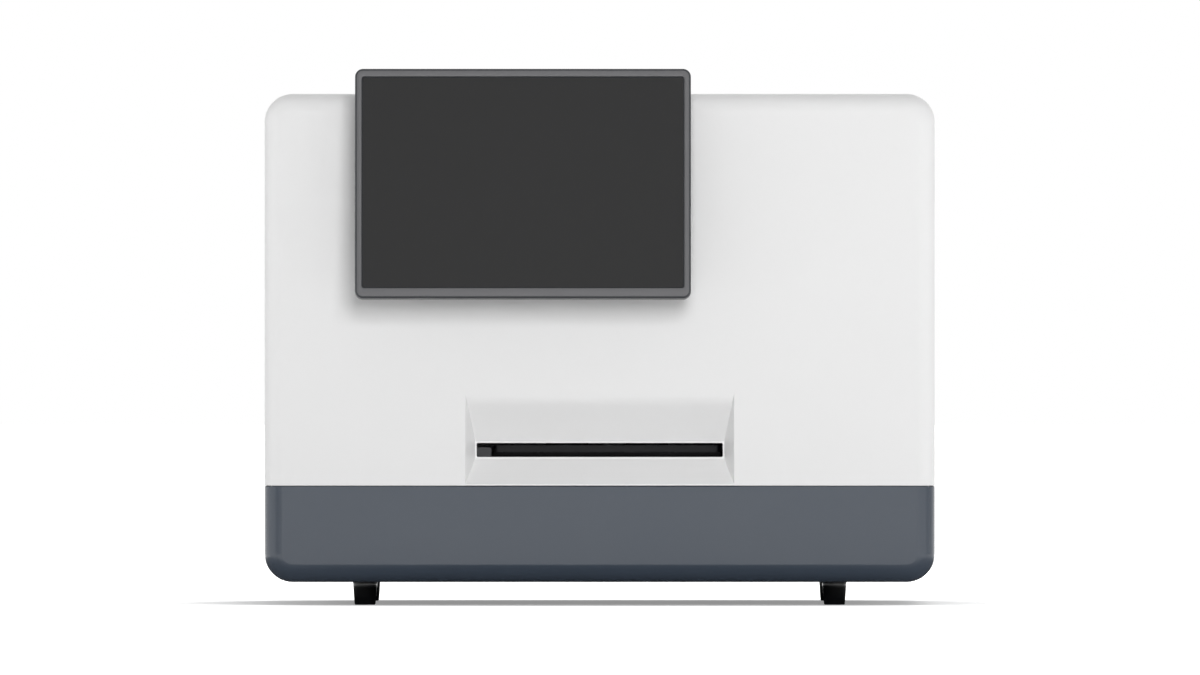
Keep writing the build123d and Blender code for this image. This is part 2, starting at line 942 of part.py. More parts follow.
def make_slide_springs():
    """Bowed leaf springs at the inner end of each pocket, which push the slides forward."""
    sag = spring_bow
    half = spring_span / 2
    outer_radius = (half**2 + sag**2) / (2 * sag)
    springs = []
    for x in slide_xs:
        crown_y = slide_rear + slide_fit / 2
        centre_y = crown_y + outer_radius
        seat = Plane(origin=(x, centre_y, slide_low))
        strip = seat * (Circle(outer_radius) - Circle(outer_radius - spring_thickness))
        strip = extrude(strip, spring_height)
        keep_y = (crown_y - 1, crown_y + sag + spring_thickness)
        keep = block(about(x, spring_span), keep_y, (0, body_top))
        springs.append(strip & keep)
    return group(springs)


def make_tray_carrier():
    wing_x = (-rail_x - block_width / 2, tray_screw_offset + nut_half + wing_edge)
    wing = block(wing_x, (wing_front, wing_rear), (wing_low, tongue_high))
    tongue_y = (tray_front + tongue_setback, wing_front + 1)
    tongue = block(about(tray_x, tray_width), tongue_y, (tongue_low, tongue_high))
    carrier = wing + tongue
    for x in tray_rib_xs():
        rib_y = (tray_front + tongue_setback, tray_rear + tray_seat_gap)
        rib_z = (tongue_low, tongue_high + tray_rib_height)
        carrier = carrier + block(about(x, tray_rib_width), rib_y, rib_z)
    for x in slide_xs:
        window_y = about(window_middle, window_length + 2 * tongue_window_margin)
        window_x = about(x, window_width + 2 * tongue_window_margin)
        carrier = carrier - block(window_x, window_y, (tongue_low - 1, tongue_high + 1))
    fence_y = (tray_rear + tray_seat_gap, tray_rear + tray_seat_gap + fence_thickness)
    fence = block(about(tray_x, fence_width), fence_y, (tongue_high - 1, tongue_high + fence_height))
    carrier = carrier + fence
    for side in (-1, 1):
        x = tray_x + side * tray_width / 4
        hole = rod(wing_hole_radius, (x, wing_middle, wing_low - 1), (x, wing_middle, tongue_high + 1))
        carrier = carrier - hole
    return carrier


# ---------------------------------------------------------------- linear guides and drives
def rail_outline(width, height):
    """A guide rail's section, standing on its foot: flat top, waisted sides."""
    half = width / 2
    waist = half - rail_waist
    points = [
        (-half, 0),
        (half, 0),
        (half, height * 0.3),
        (waist, height * 0.45),
        (waist, height * 0.6),
        (half, height * 0.75),
        (half, height),
        (-half, height),
        (-half, height * 0.75),
        (-waist, height * 0.6),
        (-waist, height * 0.45),
        (-half, height * 0.3),
    ]
    return make_face(Polyline(*points, close=True))


def make_tray_rails():
    rails = []
    for x in rail_xs:
        seat = front_plane(rail_rear, x, rail_bottom)
        rails.append(extrude(seat * rail_outline(rail_width, rail_height), rail_rear - rail_front))
    return group(rails)


def make_rail_pedestals():
    pedestals = []
    for x in rail_xs:
        bar = block(about(x, pedestal_width), (rail_front, rail_rear), (chassis_top, rail_bottom))
        for i in range(pedestal_arches):
            y = (rail_front + rail_rear) / 2 + (i - (pedestal_arches - 1) / 2) * pedestal_arch_pitch
            arch = block(
                about(x, pedestal_width + 2),
                about(y, pedestal_arch_width),
                (chassis_top + pedestal_sill, rail_bottom - pedestal_crown),
            )
            bar = bar - fillet(arch.edges().filter_by(Axis.X), pedestal_arch_round)
        pedestals.append(bar)
    return group(pedestals)


def make_tray_blocks():
    blocks = []
    skirt_bottom = rail_top - block_skirt
    for x in rail_xs:
        saddle = block(about(x, block_width), (wing_front, wing_rear), (skirt_bottom, wing_low))
        channel = block(
            about(x, rail_width + 2 * guide_gap),
            (wing_front - 1, wing_rear + 1),
            (skirt_bottom - 1, rail_top + guide_gap),
        )
        blocks.append(saddle - channel)
    return group(blocks)


def make_tray_nut():
    nut_y = about(wing_middle, nut_length)
    nut_z = (tray_screw_z - nut_half, wing_low)
    body = block(about(tray_screw_offset, 2 * nut_half), nut_y, nut_z)
    bore = rod(
        screw_radius + screw_play,
        (tray_screw_offset, nut_y[0] - 1, tray_screw_z),
        (tray_screw_offset, nut_y[1] + 1, tray_screw_z),
    )
    return body - bore


def stepper(size, length, shaft_radius, shaft_depth):
    """A square stepper motor that stands on Z 0 and faces up, hollow for its lead screw."""
    corner = motor_corner * size / motor_size
    down = (Align.CENTER, Align.CENTER, Align.MAX)
    up = (Align.CENTER, Align.CENTER, Align.MIN)
    body = Box(size, size, length, align=down)
    body = chamfer(body.edges().filter_by(Axis.Z), corner)
    waist = Box(size + 1, size + 1, length / 2)
    core_size = size - 2 * motor_waist
    core = Box(core_size, core_size, length / 2)
    core = chamfer(core.edges().filter_by(Axis.Z), corner)
    body = body - Pos(0, 0, -length / 2) * (waist - core)
    body = body + Cylinder(boss_of(size), motor_boss_height, align=up)
    bore = Cylinder(shaft_radius + screw_play, shaft_depth + motor_boss_height + 1, align=down)
    return body - Pos(0, 0, motor_boss_height + 1) * bore


def boss_of(size):
    """The radius of a stepper motor's locating boss, which follows the motor's size."""
    return motor_boss_radius * size / motor_size


def make_tray_motor():
    face = tray_bracket_front + bracket_thickness
    seat = Plane(origin=(tray_screw_offset, face, tray_screw_z), x_dir=(1, 0, 0), z_dir=(0, -1, 0))
    return seat * stepper(motor_size, motor_length, screw_radius, motor_shaft_depth)


def make_tray_screw():
    start = rail_front
    end = tray_bracket_front + bracket_thickness + motor_shaft_depth - 1
    return rod(
        screw_radius, (tray_screw_offset, start, tray_screw_z), (tray_screw_offset, end, tray_screw_z)
    )


def make_cross_motor():
    face = head_x - cross_reach - bracket_thickness
    seat = Plane(origin=(face, cross_screw_y, cross_screw_z), x_dir=(0, 1, 0), z_dir=(1, 0, 0))
    return seat * stepper(small_motor_size, small_motor_length, screw_radius, motor_shaft_depth)


def make_cross_screw():
    start = head_x - cross_reach - bracket_thickness - motor_shaft_depth + 1
    end = head_x + cross_reach + end_bearing_length
    return rod(screw_radius, (start, cross_screw_y, cross_screw_z), (end, cross_screw_y, cross_screw_z))


def make_motor_brackets():
    tray_plate = block(
        about(tray_screw_offset, motor_size),
        (tray_bracket_front, tray_bracket_front + bracket_thickness),
        (chassis_top, tray_screw_z + motor_size / 2),
    )
    tray_plate = tray_plate - rod(
        motor_boss_radius + motor_boss_play,
        (tray_screw_offset, tray_bracket_front - 1, tray_screw_z),
        (tray_screw_offset, tray_bracket_front + bracket_thickness + 1, tray_screw_z),
    )
    foot = block(
        about(tray_screw_offset, motor_size),
        (tray_bracket_front + bracket_thickness - 1, tray_bracket_front + motor_length),
        (chassis_top, chassis_top + bracket_thickness),
    )
    end_x = head_x - cross_reach
    cross_plate = block(
        (end_x - bracket_thickness, end_x),
        about(cross_screw_y, small_motor_size),
        (beam_top, cross_screw_z + small_motor_size / 2),
    )
    reach_y = (beam_front - cross_bracket_reach, beam_back)
    cross_plate = cross_plate & block((end_x - bracket_thickness, end_x), reach_y, (beam_top, body_top))
    cross_plate = cross_plate - rod(
        boss_of(small_motor_size) + motor_boss_play,
        (end_x - bracket_thickness - 1, cross_screw_y, cross_screw_z),
        (end_x + 1, cross_screw_y, cross_screw_z),
    )
    return group([tray_plate + foot, cross_plate])


def make_screw_end_bearings():
    half = screw_radius + end_bearing_wall
    front = rail_front
    tray_end = block(
        about(tray_screw_offset, 2 * half),
        (front, front + end_bearing_length - 2),
        (chassis_top, tray_screw_z + half),
    )
    tray_end = tray_end - rod(
        screw_radius + screw_play,
        (tray_screw_offset, front - 1, tray_screw_z),
        (tray_screw_offset, front + end_bearing_length, tray_screw_z),
    )
    end_x = head_x + cross_reach
    cross_end = block(
        (end_x, end_x + end_bearing_length),
        about(cross_screw_y, 2 * half),
        (beam_top, cross_screw_z + half),
    )
    cross_end = cross_end - rod(
        screw_radius + screw_play,
        (end_x - 1, cross_screw_y, cross_screw_z),
        (end_x + end_bearing_length + 1, cross_screw_y, cross_screw_z),
    )
    return group([tray_end, cross_end])


# ---------------------------------------------------------------- gantry and optics head
def make_gantry_beam():
    half = body_width / 2 - wall - post_inset
    beam = block((-half, half), (beam_front, beam_back), (beam_bottom, beam_top))
    hollow_y = (beam_front + beam_wall, beam_back - beam_wall)
    hollow_height = (beam_height - 3 * beam_wall) / 2
    for z in about((beam_bottom + beam_top) / 2, hollow_height + beam_wall):
        beam = beam - block((-half - 1, half + 1), hollow_y, about(z, hollow_height))
    return beam


def make_gantry_posts():
    outer = body_width / 2 - wall - post_inset
    posts = []
    for side in (-1, 1):
        x = tuple(sorted((side * outer, side * (outer - post_width))))
        post = block(x, (beam_front, beam_back), (chassis_top, beam_bottom))
        pocket_y = about((beam_front + beam_back) / 2, beam_depth - 2 * post_wall)
        pocket_height = (beam_bottom - chassis_top - 3 * post_wall) / 2
        for z in about((beam_bottom + chassis_top) / 2, pocket_height + post_wall):
            pocket = block((x[0] - 1, x[1] + 1), pocket_y, about(z, pocket_height))
            post = post - fillet(pocket.edges().filter_by(Axis.X), post_pocket_round)
        posts.append(post)
    return group(posts)


def make_cross_rails():
    rails = []
    for z in cross_rail_zs:
        seat = Plane(origin=(head_x - cross_reach, beam_front, z), x_dir=(0, 0, 1), z_dir=(1, 0, 0))
        outline = rail_outline(cross_rail_width, cross_rail_height)
        rails.append(extrude(seat * outline, 2 * cross_reach))
    return group(rails)


def make_cross_blocks():
    blocks = []
    skirt_back = beam_front - cross_block_gap
    for z in cross_rail_zs:
        for x in about(head_x, head_plate_width - cross_block_length):
            saddle_z = about(z, cross_block_width - 2 * cross_saddle_inset)
            saddle = block(about(x, cross_block_length), (head_back, skirt_back), saddle_z)
            channel = block(
                about(x, cross_block_length + 2),
                (cross_rail_front - guide_gap, beam_front),
                about(z, cross_rail_width + 2 * guide_gap),
            )
            blocks.append(saddle - channel)
    return group(blocks)


def make_cross_nut():
    body = block(
        about(head_x, nut_length + 4),
        (head_back, cross_screw_y + nut_half),
        about(cross_screw_z, 2 * nut_half),
    )
    return body - rod(
        screw_radius + screw_play,
        (head_x - nut_length, cross_screw_y, cross_screw_z),
        (head_x + nut_length, cross_screw_y, cross_screw_z),
    )


def make_optics_plate():
    plate = block(about(head_x, head_plate_width), (head_front, head_back), (head_bottom, head_top))
    plate = fillet(plate.edges().filter_by(Axis.Y), head_corner)
    middle = (head_bottom + upper_arm_bottom) / 2 + head_window_lift
    for z in about(middle, head_window_pitch):
        ends = [(head_x, head_front - 1, z), (head_x, head_back + 1, z)]
        plate = plate - rod(head_window_radius, *ends)
    return plate


def make_upper_arm():
    arm = block(
        about(head_x, arm_width), (focus_base_back, head_front), (upper_arm_bottom, upper_arm_top)
    )
    pocket_y = (focus_base_back + arm_pocket_end, head_front - arm_pocket_end)
    pocket_z = (upper_arm_bottom + arm_pocket_wall, upper_arm_top - arm_pocket_wall)
    pocket = block(about(head_x, arm_width + 2), pocket_y, pocket_z)
    return arm - fillet(pocket.edges().filter_by(Axis.X), arm_pocket_round)


def make_lower_arm():
    top = head_bottom + lower_arm_height
    front = optical_axis_depth - lamp_size / 2 - lamp_margin
    arm = block(about(head_x, lower_arm_width), (front, head_front), (head_bottom, top))
    arm = fillet(arm.edges().filter_by(Axis.Z).sort_by(Axis.Y)[:2], lower_arm_round)
    side = Polyline(
        (head_front, top - 1),
        (head_front - gusset_length, top - 1),
        (head_front, top + gusset_height),
        close=True,
    )
    for x in about(head_x, lower_arm_width - gusset_thickness):
        seat = Plane(origin=(x - gusset_thickness / 2, 0, 0), x_dir=(0, 1, 0), z_dir=(1, 0, 0))
        arm = arm + extrude(seat * make_face(side), gusset_thickness)
    return arm


def make_lamp_module():
    """The light source under the condenser, in its finned heat sink."""
    low = head_bottom + lower_arm_height
    y = about(optical_axis_depth, lamp_size)
    sink = block(about(head_x, lamp_size), y, (low, low + lamp_height))
    count = int(lamp_size / lamp_fin_pitch)
    for i in range(count):
        x = head_x + (i - (count - 1) / 2) * lamp_fin_pitch
        for edge, sign in ((y[0], 1), (y[1], -1)):
            notch_y = tuple(sorted((edge - sign, edge + sign * lamp_fin_depth)))
            notch_z = (low + lamp_base, low + lamp_height + 1)
            sink = sink - block(about(x, lamp_fin_pitch / 2), notch_y, notch_z)
    return sink


def make_condenser():
    """The condenser: a stepped barrel with a domed lens on top, under the slides."""
    low = head_bottom + lower_arm_height + lamp_height
    seat_radius = condenser_lens_radius + 2
    shoulder = condenser_height - condenser_lens_rise
    profile = Polyline(
        (0, 0),
        (condenser_radius, 0),
        (condenser_radius, condenser_height * 0.6),
        (seat_radius, condenser_height * 0.8),
        (seat_radius, shoulder),
        (0, shoulder),
        close=True,
    )
    seat = Plane(origin=(head_x, optical_axis_depth, low), x_dir=(1, 0, 0), z_dir=(0, -1, 0))
    barrel = revolve(seat * make_face(profile), Axis((head_x, optical_axis_depth, low), (0, 0, 1)))
    dome_radius = (condenser_lens_radius**2 + condenser_lens_rise**2) / (2 * condenser_lens_rise)
    ball = Pos(head_x, optical_axis_depth, low + condenser_height - dome_radius) * Sphere(dome_radius)
    keep = block(
        about(head_x, 2 * seat_radius),
        about(optical_axis_depth, 2 * seat_radius),
        (low + shoulder, low + condenser_height + 1),
    )
    return barrel + (ball & keep)


def make_focus_base():
    base_y = (focus_base_front, focus_base_back)
    base = block(about(head_x, focus_base_width), base_y, (focus_base_bottom, focus_base_top))
    for x in about(head_x, focus_rail_spread):
        rail = block(
            about(x, focus_rail_width),
            (focus_rail_front, focus_base_front + 1),
            (focus_base_bottom, focus_plate_top + focus_up + 2),
        )
        base = base + rail
    ledge = block(
        (head_x + focus_base_width / 2 - focus_ledge_overlap, focus_screw_x + small_motor_size / 2),
        (focus_screw_y - small_motor_size / 2, focus_base_back),
        (focus_base_top - bracket_thickness - 2, focus_base_top),
    )
    base = base + ledge
    return base - rod(
        boss_of(small_motor_size) + motor_boss_play,
        (focus_screw_x, focus_screw_y, focus_base_top - bracket_thickness - 3),
        (focus_screw_x, focus_screw_y, focus_base_top + 1),
    )


def make_focus_motor():
    seat = Plane(
        origin=(focus_screw_x, focus_screw_y, focus_base_top), x_dir=(1, 0, 0), z_dir=(0, 0, -1)
    )
    return seat * stepper(small_motor_size, small_motor_length, focus_screw_radius, motor_shaft_depth)


def make_focus_screw():
    low = focus_plate_bottom + focus_lug_height - focus_down - focus_screw_tip
    high = focus_base_top + motor_shaft_depth - 1
    return rod(
        focus_screw_radius, (focus_screw_x, focus_screw_y, low), (focus_screw_x, focus_screw_y, high)
    )


def make_focus_carriage():
    plate = block(
        about(head_x, focus_base_width - 2),
        (focus_plate_front, focus_plate_back),
        (focus_plate_bottom, focus_plate_top),
    )
    for x in about(head_x, focus_rail_spread):
        channel = block(
            about(x, focus_rail_width + 2 * guide_gap),
            (focus_rail_front - guide_gap, focus_plate_back + 1),
            (focus_plate_bottom - 1, focus_plate_top + 1),
        )
        plate = plate - channel
    holder_z = (objective_top, holder_top)
    ring_radius = objective_thread_radius + holder_wall
    arm_y = (optical_axis_depth, focus_plate_front + 1)
    arm = block(about(head_x, 2 * ring_radius - 4), arm_y, holder_z)
    on_axis = (head_x, optical_axis_depth)
    ring = rod(ring_radius, (*on_axis, holder_z[0]), (*on_axis, holder_z[1]))
    thread = rod(objective_thread_radius, (*on_axis, holder_z[0] - 1), (*on_axis, holder_z[1] + 1))
    carriage = plate + arm + ring - thread
    lug_low = focus_plate_bottom + focus_lug_lift
    lug = block(
        (head_x + focus_base_width / 2 - 2, focus_screw_x + focus_screw_radius + 4),
        about(focus_screw_y, 2 * (focus_screw_radius + focus_lug_wall)),
        (lug_low, lug_low + focus_lug_height),
    )
    carriage = carriage + lug
    return carriage - rod(
        focus_screw_radius + screw_play,
        (focus_screw_x, focus_screw_y, lug_low - 1),
        (focus_screw_x, focus_screw_y, lug_low + focus_lug_height + 1),
    )


def make_objective():
    """The objective: threaded neck, knurled barrel and a cone down to the front lens."""
    r, tip = objective_radius, objective_tip_radius
    length = objective_length
    cone_top, collar, grip, shoulder = (length * step for step in objective_steps)
    waist = r - objective_waist
    profile = Polyline(
        (0, 0),
        (tip, 0),
        (tip + objective_nose_flare, objective_nose_height),
        (waist, cone_top),
        (waist, collar),
        (r - 1, collar),
        (r - 1, grip),
        (r, grip),
        (r, shoulder),
        (r - 1, length),
        (objective_thread_radius, length),
        (objective_thread_radius, length + holder_thickness - 2),
        (0, length + holder_thickness - 2),
        close=True,
    )
    seat = Plane(origin=(head_x, optical_axis_depth, objective_tip), x_dir=(1, 0, 0), z_dir=(0, -1, 0))
    return revolve(seat * make_face(profile), Axis((head_x, optical_axis_depth, 0), (0, 0, 1)))


def make_tube_barrel():
    """The tube-lens barrel with the clamp that holds it to the focus base."""
    centre = (head_x, optical_axis_depth)
    skirt = rod(tube_skirt_radius, (*centre, tube_bottom), (*centre, tube_bottom + tube_skirt_length))
    barrel = rod(tube_radius, (*centre, tube_bottom + tube_skirt_length), (*centre, tube_top))
    bore = rod(tube_skirt_radius - tube_wall, (*centre, tube_bottom - 1), (*centre, tube_top + 1))
    clamp_z = (focus_base_top - tube_clamp_height, focus_base_top)
    collar = rod(tube_radius + tube_clamp_wall, (*centre, clamp_z[0]), (*centre, clamp_z[1]))
    arm = block(about(head_x, tube_arm_width), (optical_axis_depth, focus_base_front), clamp_z)
    return skirt + barrel + collar + arm - bore


def make_camera():
    low = tube_top
    x, y = about(head_x, camera_size), about(optical_axis_depth, camera_size)
    body = block(x, y, (low, low + camera_height))
    body = fillet(body.edges().filter_by(Axis.Z), camera_corner)
    fins = int((camera_height - camera_plain_height) / camera_fin_pitch)
    ring_outer = block((x[0] - 1, x[1] + 1), (y[0] - 1, y[1] + 1), (0, camera_fin_pitch / 2))
    core_x = (x[0] + camera_fin_depth, x[1] - camera_fin_depth)
    core_y = (y[0] + camera_fin_depth, y[1] - camera_fin_depth)
    groove = ring_outer - block(core_x, core_y, (-1, camera_fin_pitch))
    for i in range(fins):
        body = body - Pos(0, 0, low + camera_fin_start + i * camera_fin_pitch) * groove
    return body


# ---------------------------------------------------------------- display and its hinge
def tilted(shape):
    """A display piece, turned back from upright to the angle at which it rests."""
    return shape.rotate(hinge_axis, display_tilt)


def display_outline(grow=0.0):
    return RectangleRounded(display_width + 2 * grow, display_height + 2 * grow, display_corner + grow)


def make_display_bezel():
    back = display_front + bezel_depth
    frame = slab(display_outline(), display_front, back, display_x, display_middle)
    front = frame.faces().sort_by(Axis.Y)[0]
    frame = fillet(front.edges(), display_edge_round)
    cavity = slab(
        display_outline(-display_wall), display_front + bezel_lip, back + 1, display_x, display_middle
    )
    window = RectangleRounded(window_width_display, window_height_display, bezel_window_corner)
    opening = slab(
        window, display_front - 1, display_front + bezel_lip + 1, display_x, window_middle_display
    )
    return tilted(frame - cavity - opening)


def make_display_glass():
    shrink = display_wall + glass_fit
    front = display_front + bezel_lip
    glass = slab(display_outline(-shrink), front, front + glass_thickness, display_x, display_middle)
    return tilted(glass)


def make_lcd_panel():
    front = display_front + bezel_lip + glass_thickness
    outline = Rectangle(
        window_width_display + 2 * panel_margin - 2, window_height_display + 2 * panel_margin - 2
    )
    return tilted(slab(outline, front, front + panel_thickness, display_x, window_middle_display))


def make_display_board():
    """The driver board on its four spacers behind the panel, with its larger chips."""
    panel_rear = display_front + bezel_lip + glass_thickness + panel_thickness
    front = panel_rear + display_board_gap
    back = front + board_thickness
    outline = Rectangle(display_board_width, display_board_height)
    board = slab(outline, front, back, display_x, display_middle)
    for x in about(display_x, display_board_width - 2 * display_spacer_inset):
        for z in about(display_middle, display_board_height - 2 * display_spacer_inset):
            board = board + rod(display_spacer_radius, (x, panel_rear, z), (x, front + 0.5, z))
    chips = [
        (scaler_x, scaler_z, scaler_size, scaler_size),
        (driver_x, driver_z, driver_size, driver_size),
        (socket_offset_x, socket_offset_z, socket_length, socket_width),
        (inverter_x, inverter_z, inverter_size, inverter_size),
    ]
    for x, z, width, height in chips:
        chip = slab(
            Rectangle(width, height),
            back - 0.5,
            back + display_chip_height,
            display_x + x,
            display_middle + z,
        )
        board = board + chip
    return tilted(board)


def make_display_back_cover():
    front = display_front + bezel_depth + display_seam
    inside = display_back - display_wall
    shell = slab(display_outline(), front, display_back, display_x, display_middle)
    rear = shell.faces().sort_by(Axis.Y)[-1]
    shell = chamfer(rear.edges(), back_chamfer)
    cavity = slab(display_outline(-display_wall - 1), front - 1, inside, display_x, display_middle)
    inner = cavity.faces().sort_by(Axis.Y)[-1]
    cavity = chamfer(inner.edges(), back_chamfer / 2)
    shell = shell - cavity
    for i in range(vent_slot_count):
        x = display_x + (i - (vent_slot_count - 1) / 2) * vent_slot_pitch
        slot = Rectangle(vent_slot_width, vent_slot_height)
        z = display_bottom + vent_slot_rise
        shell = shell - slab(slot, inside - 1, display_back + 1, x, z)
    for x, z in hinge_screw_places():
        boss_front, boss_back = display_back - hinge_screw_length, display_back - 1
        boss = rod(back_boss_radius, (x, boss_front, z), (x, boss_back, z))
        shell = shell + boss
        shell = shell - rod(
            hinge_screw_radius + thread_fit,
            (x, display_back - hinge_screw_length + 1, z),
            (x, display_back + 1, z),
        )
    return tilted(shell)


def hinge_screw_places():
    """The four screws of the hinge plate, and of the wall bracket behind it."""
    return [
        (x, z)
        for x in about(display_x, hinge_screw_spread_x)
        for z in about(hinge_height, hinge_screw_spread_z)
    ]


def bracket_screw_holes(radius, y_front, y_back):
    return joined([rod(radius, (x, y_front, z), (x, y_back, z)) for x, z in hinge_screw_places()])


def make_hinge_plate():
    back = display_back + hinge_plate_thickness
    outline = RectangleRounded(hinge_plate_width, hinge_plate_height, 4)
    plate = slab(outline, display_back, back, display_x, hinge_height)
    for x in hinge_xs:
        x_low, x_high = about(x, knuckle_width)
        knuckle = rod(knuckle_radius, (x_low, hinge_y, hinge_height), (x_high, hinge_y, hinge_height))
        web = block((x_low, x_high), (back - 1, hinge_y), about(hinge_height, 2 * knuckle_radius))
        plate = plate + knuckle + web
        plate = plate - rod(
            hinge_pin_radius + hinge_play,
            (x_low - 1, hinge_y, hinge_height),
            (x_high + 1, hinge_y, hinge_height),
        )
    for x, z in hinge_screw_places():
        hole = hinge_screw_radius + screw_clearance
        plate = plate - rod(hole, (x, display_back - 1, z), (x, back + 1, z))
    return tilted(plate)


def make_hinge_plate_screws():
    seat_y = display_back + hinge_plate_thickness
    screws = []
    for x, z in hinge_screw_places():
        screws.append(
            screw(
                hinge_screw_radius,
                hinge_screw_length + hinge_plate_thickness - 2,
                hinge_screw_head_radius,
                hinge_screw_head_height,
                (x, seat_y, z),
                (0, -1, 0),
            )
        )
    return tilted(group(screws))


def make_display_bracket():
    outline = RectangleRounded(hinge_plate_width, hinge_plate_height, 4)
    plate = slab(outline, -hinge_plate_thickness, 0, display_x, hinge_height)
    ear_centre = knuckle_width / 2 + hinge_gap + ear_width / 2
    for x in hinge_xs:
        for side in (-1, 1):
            x_low, x_high = about(x + side * ear_centre, ear_width)
            tip = rod(knuckle_radius, (x_low, hinge_y, hinge_height), (x_high, hinge_y, hinge_height))
            web_y = (hinge_y, 1 - hinge_plate_thickness)
            web = block((x_low, x_high), web_y, about(hinge_height, 2 * knuckle_radius))
            plate = plate + tip + web
    plate = plate - joined([hinge_pin(x, 1.0) for x in hinge_xs])
    plate = plate - cable_hole(-hinge_plate_thickness - 1, 1)
    return plate - bracket_screw_holes(
        hinge_screw_radius + screw_clearance, -hinge_plate_thickness - 1, 1
    )


def cable_hole(y_front, y_back, radius=cable_hole_radius):
    """The hole between the hinges where the display's lead enters the housing."""
    return rod(radius, (display_x, y_front, hinge_height), (display_x, y_back, hinge_height))


def make_cable_grommet():
    """The rubber ring that lines the cable hole, with a flange on each side of the wall."""
    front, back = -hinge_plate_thickness, wall
    ring = cable_hole(front - grommet_lip, back + grommet_lip, cable_hole_radius - grommet_fit)
    flanges = cable_hole(front - grommet_lip, front, cable_hole_radius + grommet_flange)
    flanges = flanges + cable_hole(back, back + grommet_lip, cable_hole_radius + grommet_flange)
    bore = cable_hole(front - grommet_lip - 1, back + grommet_lip + 1, grommet_bore)
    return ring + flanges - bore


def hinge_pin(x, overrun=0.0):
    reach = knuckle_width / 2 + hinge_gap + ear_width + overrun
    return rod(
        hinge_pin_radius, (x - reach, hinge_y, hinge_height), (x + reach, hinge_y, hinge_height)
    )


def make_hinge_pins():
    return group([hinge_pin(x) for x in hinge_xs])


# ---------------------------------------------------------------- back of the housing
def make_housing_screws():
    """The screws of the wall bracket, of the back panel and of the fan."""
    screws = []
    for x, z in hinge_screw_places():
        screws.append(
            screw(
                hinge_screw_radius,
                hinge_plate_thickness + wall + 1,
                hinge_screw_head_radius,
                hinge_screw_head_height,
                (x, -hinge_plate_thickness, z),
                (0, 1, 0),
            )
        )
    for x, z in panel_screw_places() + fan_screw_places():
        screws.append(
            screw(
                screw_m3_radius,
                screw_m3_length,
                screw_m3_head_radius,
                screw_m3_head_height,
                (x, panel_back, z),
                (0, -1, 0),
            )
        )
    return group(screws)


def fan_screw_places():
    return [(x, z) for x in about(fan_x, fan_screw_spread) for z in about(fan_z, fan_screw_spread)]


def make_fan_frame():
    front = panel_front - fan_depth
    square = RectangleRounded(fan_size, fan_size, fan_corner)
    frame = slab(square - Circle(fan_bore_radius), front, panel_front, fan_x, fan_z)
    hub = slab(Circle(fan_hub_radius), front, front + fan_back, fan_x, fan_z)
    strut = Rectangle(2 * fan_bore_radius + 2, fan_strut_width)
    struts = strut + Rot(0, 0, 90) * strut
    frame = frame + slab(struts, front, front + fan_back, fan_x, fan_z) + hub
    shaft_end = front + fan_shaft_length
    frame = frame + rod(fan_shaft_radius, (fan_x, front, fan_z), (fan_x, shaft_end, fan_z))
    for x, z in fan_screw_places():
        frame = frame - rod(
            screw_m3_radius + thread_fit,
            (x, panel_front - screw_m3_length, z),
            (x, panel_front + 1, z),
        )
    return frame


def make_fan_rotor():
    low = panel_front - fan_depth + fan_back + fan_gap
    high = panel_front - fan_gap - 0.5
    hub = slab(Circle(fan_hub_radius), low, high, fan_x, fan_z)
    hub = fillet(hub.faces().sort_by(Axis.Y)[-1].edges(), 2)
    middle = (low + high) / 2
    reach = (fan_hub_radius - 2, fan_blade_radius + 4)
    rotor = hub
    ring = slab(Circle(fan_blade_radius), low, high, fan_x, fan_z)
    for i in range(fan_blade_count):
        blade = Pos((reach[0] + reach[1]) / 2, 0, 0) * Box(
            reach[1] - reach[0], fan_blade_thickness, fan_blade_chord
        )
        blade = Rot(fan_blade_pitch, 0, 0) * blade
        turn = 360 * i / fan_blade_count
        seat = Plane(origin=(fan_x, middle, fan_z), x_dir=(1, 0, 0), z_dir=(0, -1, 0))
        rotor = rotor + ((seat * (Rot(0, 0, turn) * blade)) & ring)
    bore_end = panel_front - fan_depth + fan_shaft_length + 1
    bore = rod(fan_shaft_radius + hinge_play, (fan_x, low - 1, fan_z), (fan_x, bore_end, fan_z))
    return rotor - bore


def inlet_socket_outline():
    """The mouth of a three-pin appliance inlet: a rectangle with its two upper corners cut."""
    half_w, half_h, cut = inlet_socket_width / 2, inlet_socket_height / 2, inlet_socket_chamfer
    points = [
        (-half_w, -half_h),
        (half_w, -half_h),
        (half_w, half_h - cut),
        (half_w - cut, half_h),
        (-half_w + cut, half_h),
        (-half_w, half_h - cut),
    ]
    return make_face(Polyline(*points, close=True))


def make_power_inlet():
    """The power entry module: flange, three-pin socket and the well of the rocker switch."""
    flange_outline = RectangleRounded(inlet_flange_width, inlet_flange_height, 2)
    module = slab(flange_outline, body_depth, inlet_back, inlet_x, inlet_z)
    shroud = Rectangle(socket_shroud_width, socket_shroud_height)
    module = module + slab(shroud, socket_rear, body_depth + 0.5, socket_x, inlet_z)
    well_floor = inlet_back - rocker_well_depth
    well_shroud = Rectangle(well_shroud_width, well_shroud_height)
    module = module + slab(well_shroud, well_floor - inlet_wall, body_depth + 0.5, rocker_x, inlet_z)
    well = Rectangle(well_width, well_height)
    module = module - slab(well, well_floor, inlet_back + 1, rocker_x, inlet_z)
    module = module - slab(inlet_socket_outline(), socket_floor, inlet_back + 1, socket_x, inlet_z)
    for offset, rise in (
        (-inlet_pin_spread / 2, -inlet_pin_rise),
        (0, inlet_pin_rise),
        (inlet_pin_spread / 2, -inlet_pin_rise),
    ):
        module = module + block(
            about(socket_x + offset, inlet_pin_width),
            (socket_floor - 1, socket_floor + inlet_pin_length),
            about(inlet_z + rise, inlet_pin_height),
        )
    return module - rocker_pivot(rocker_pin_radius + hinge_play, rocker_pin_end_play)


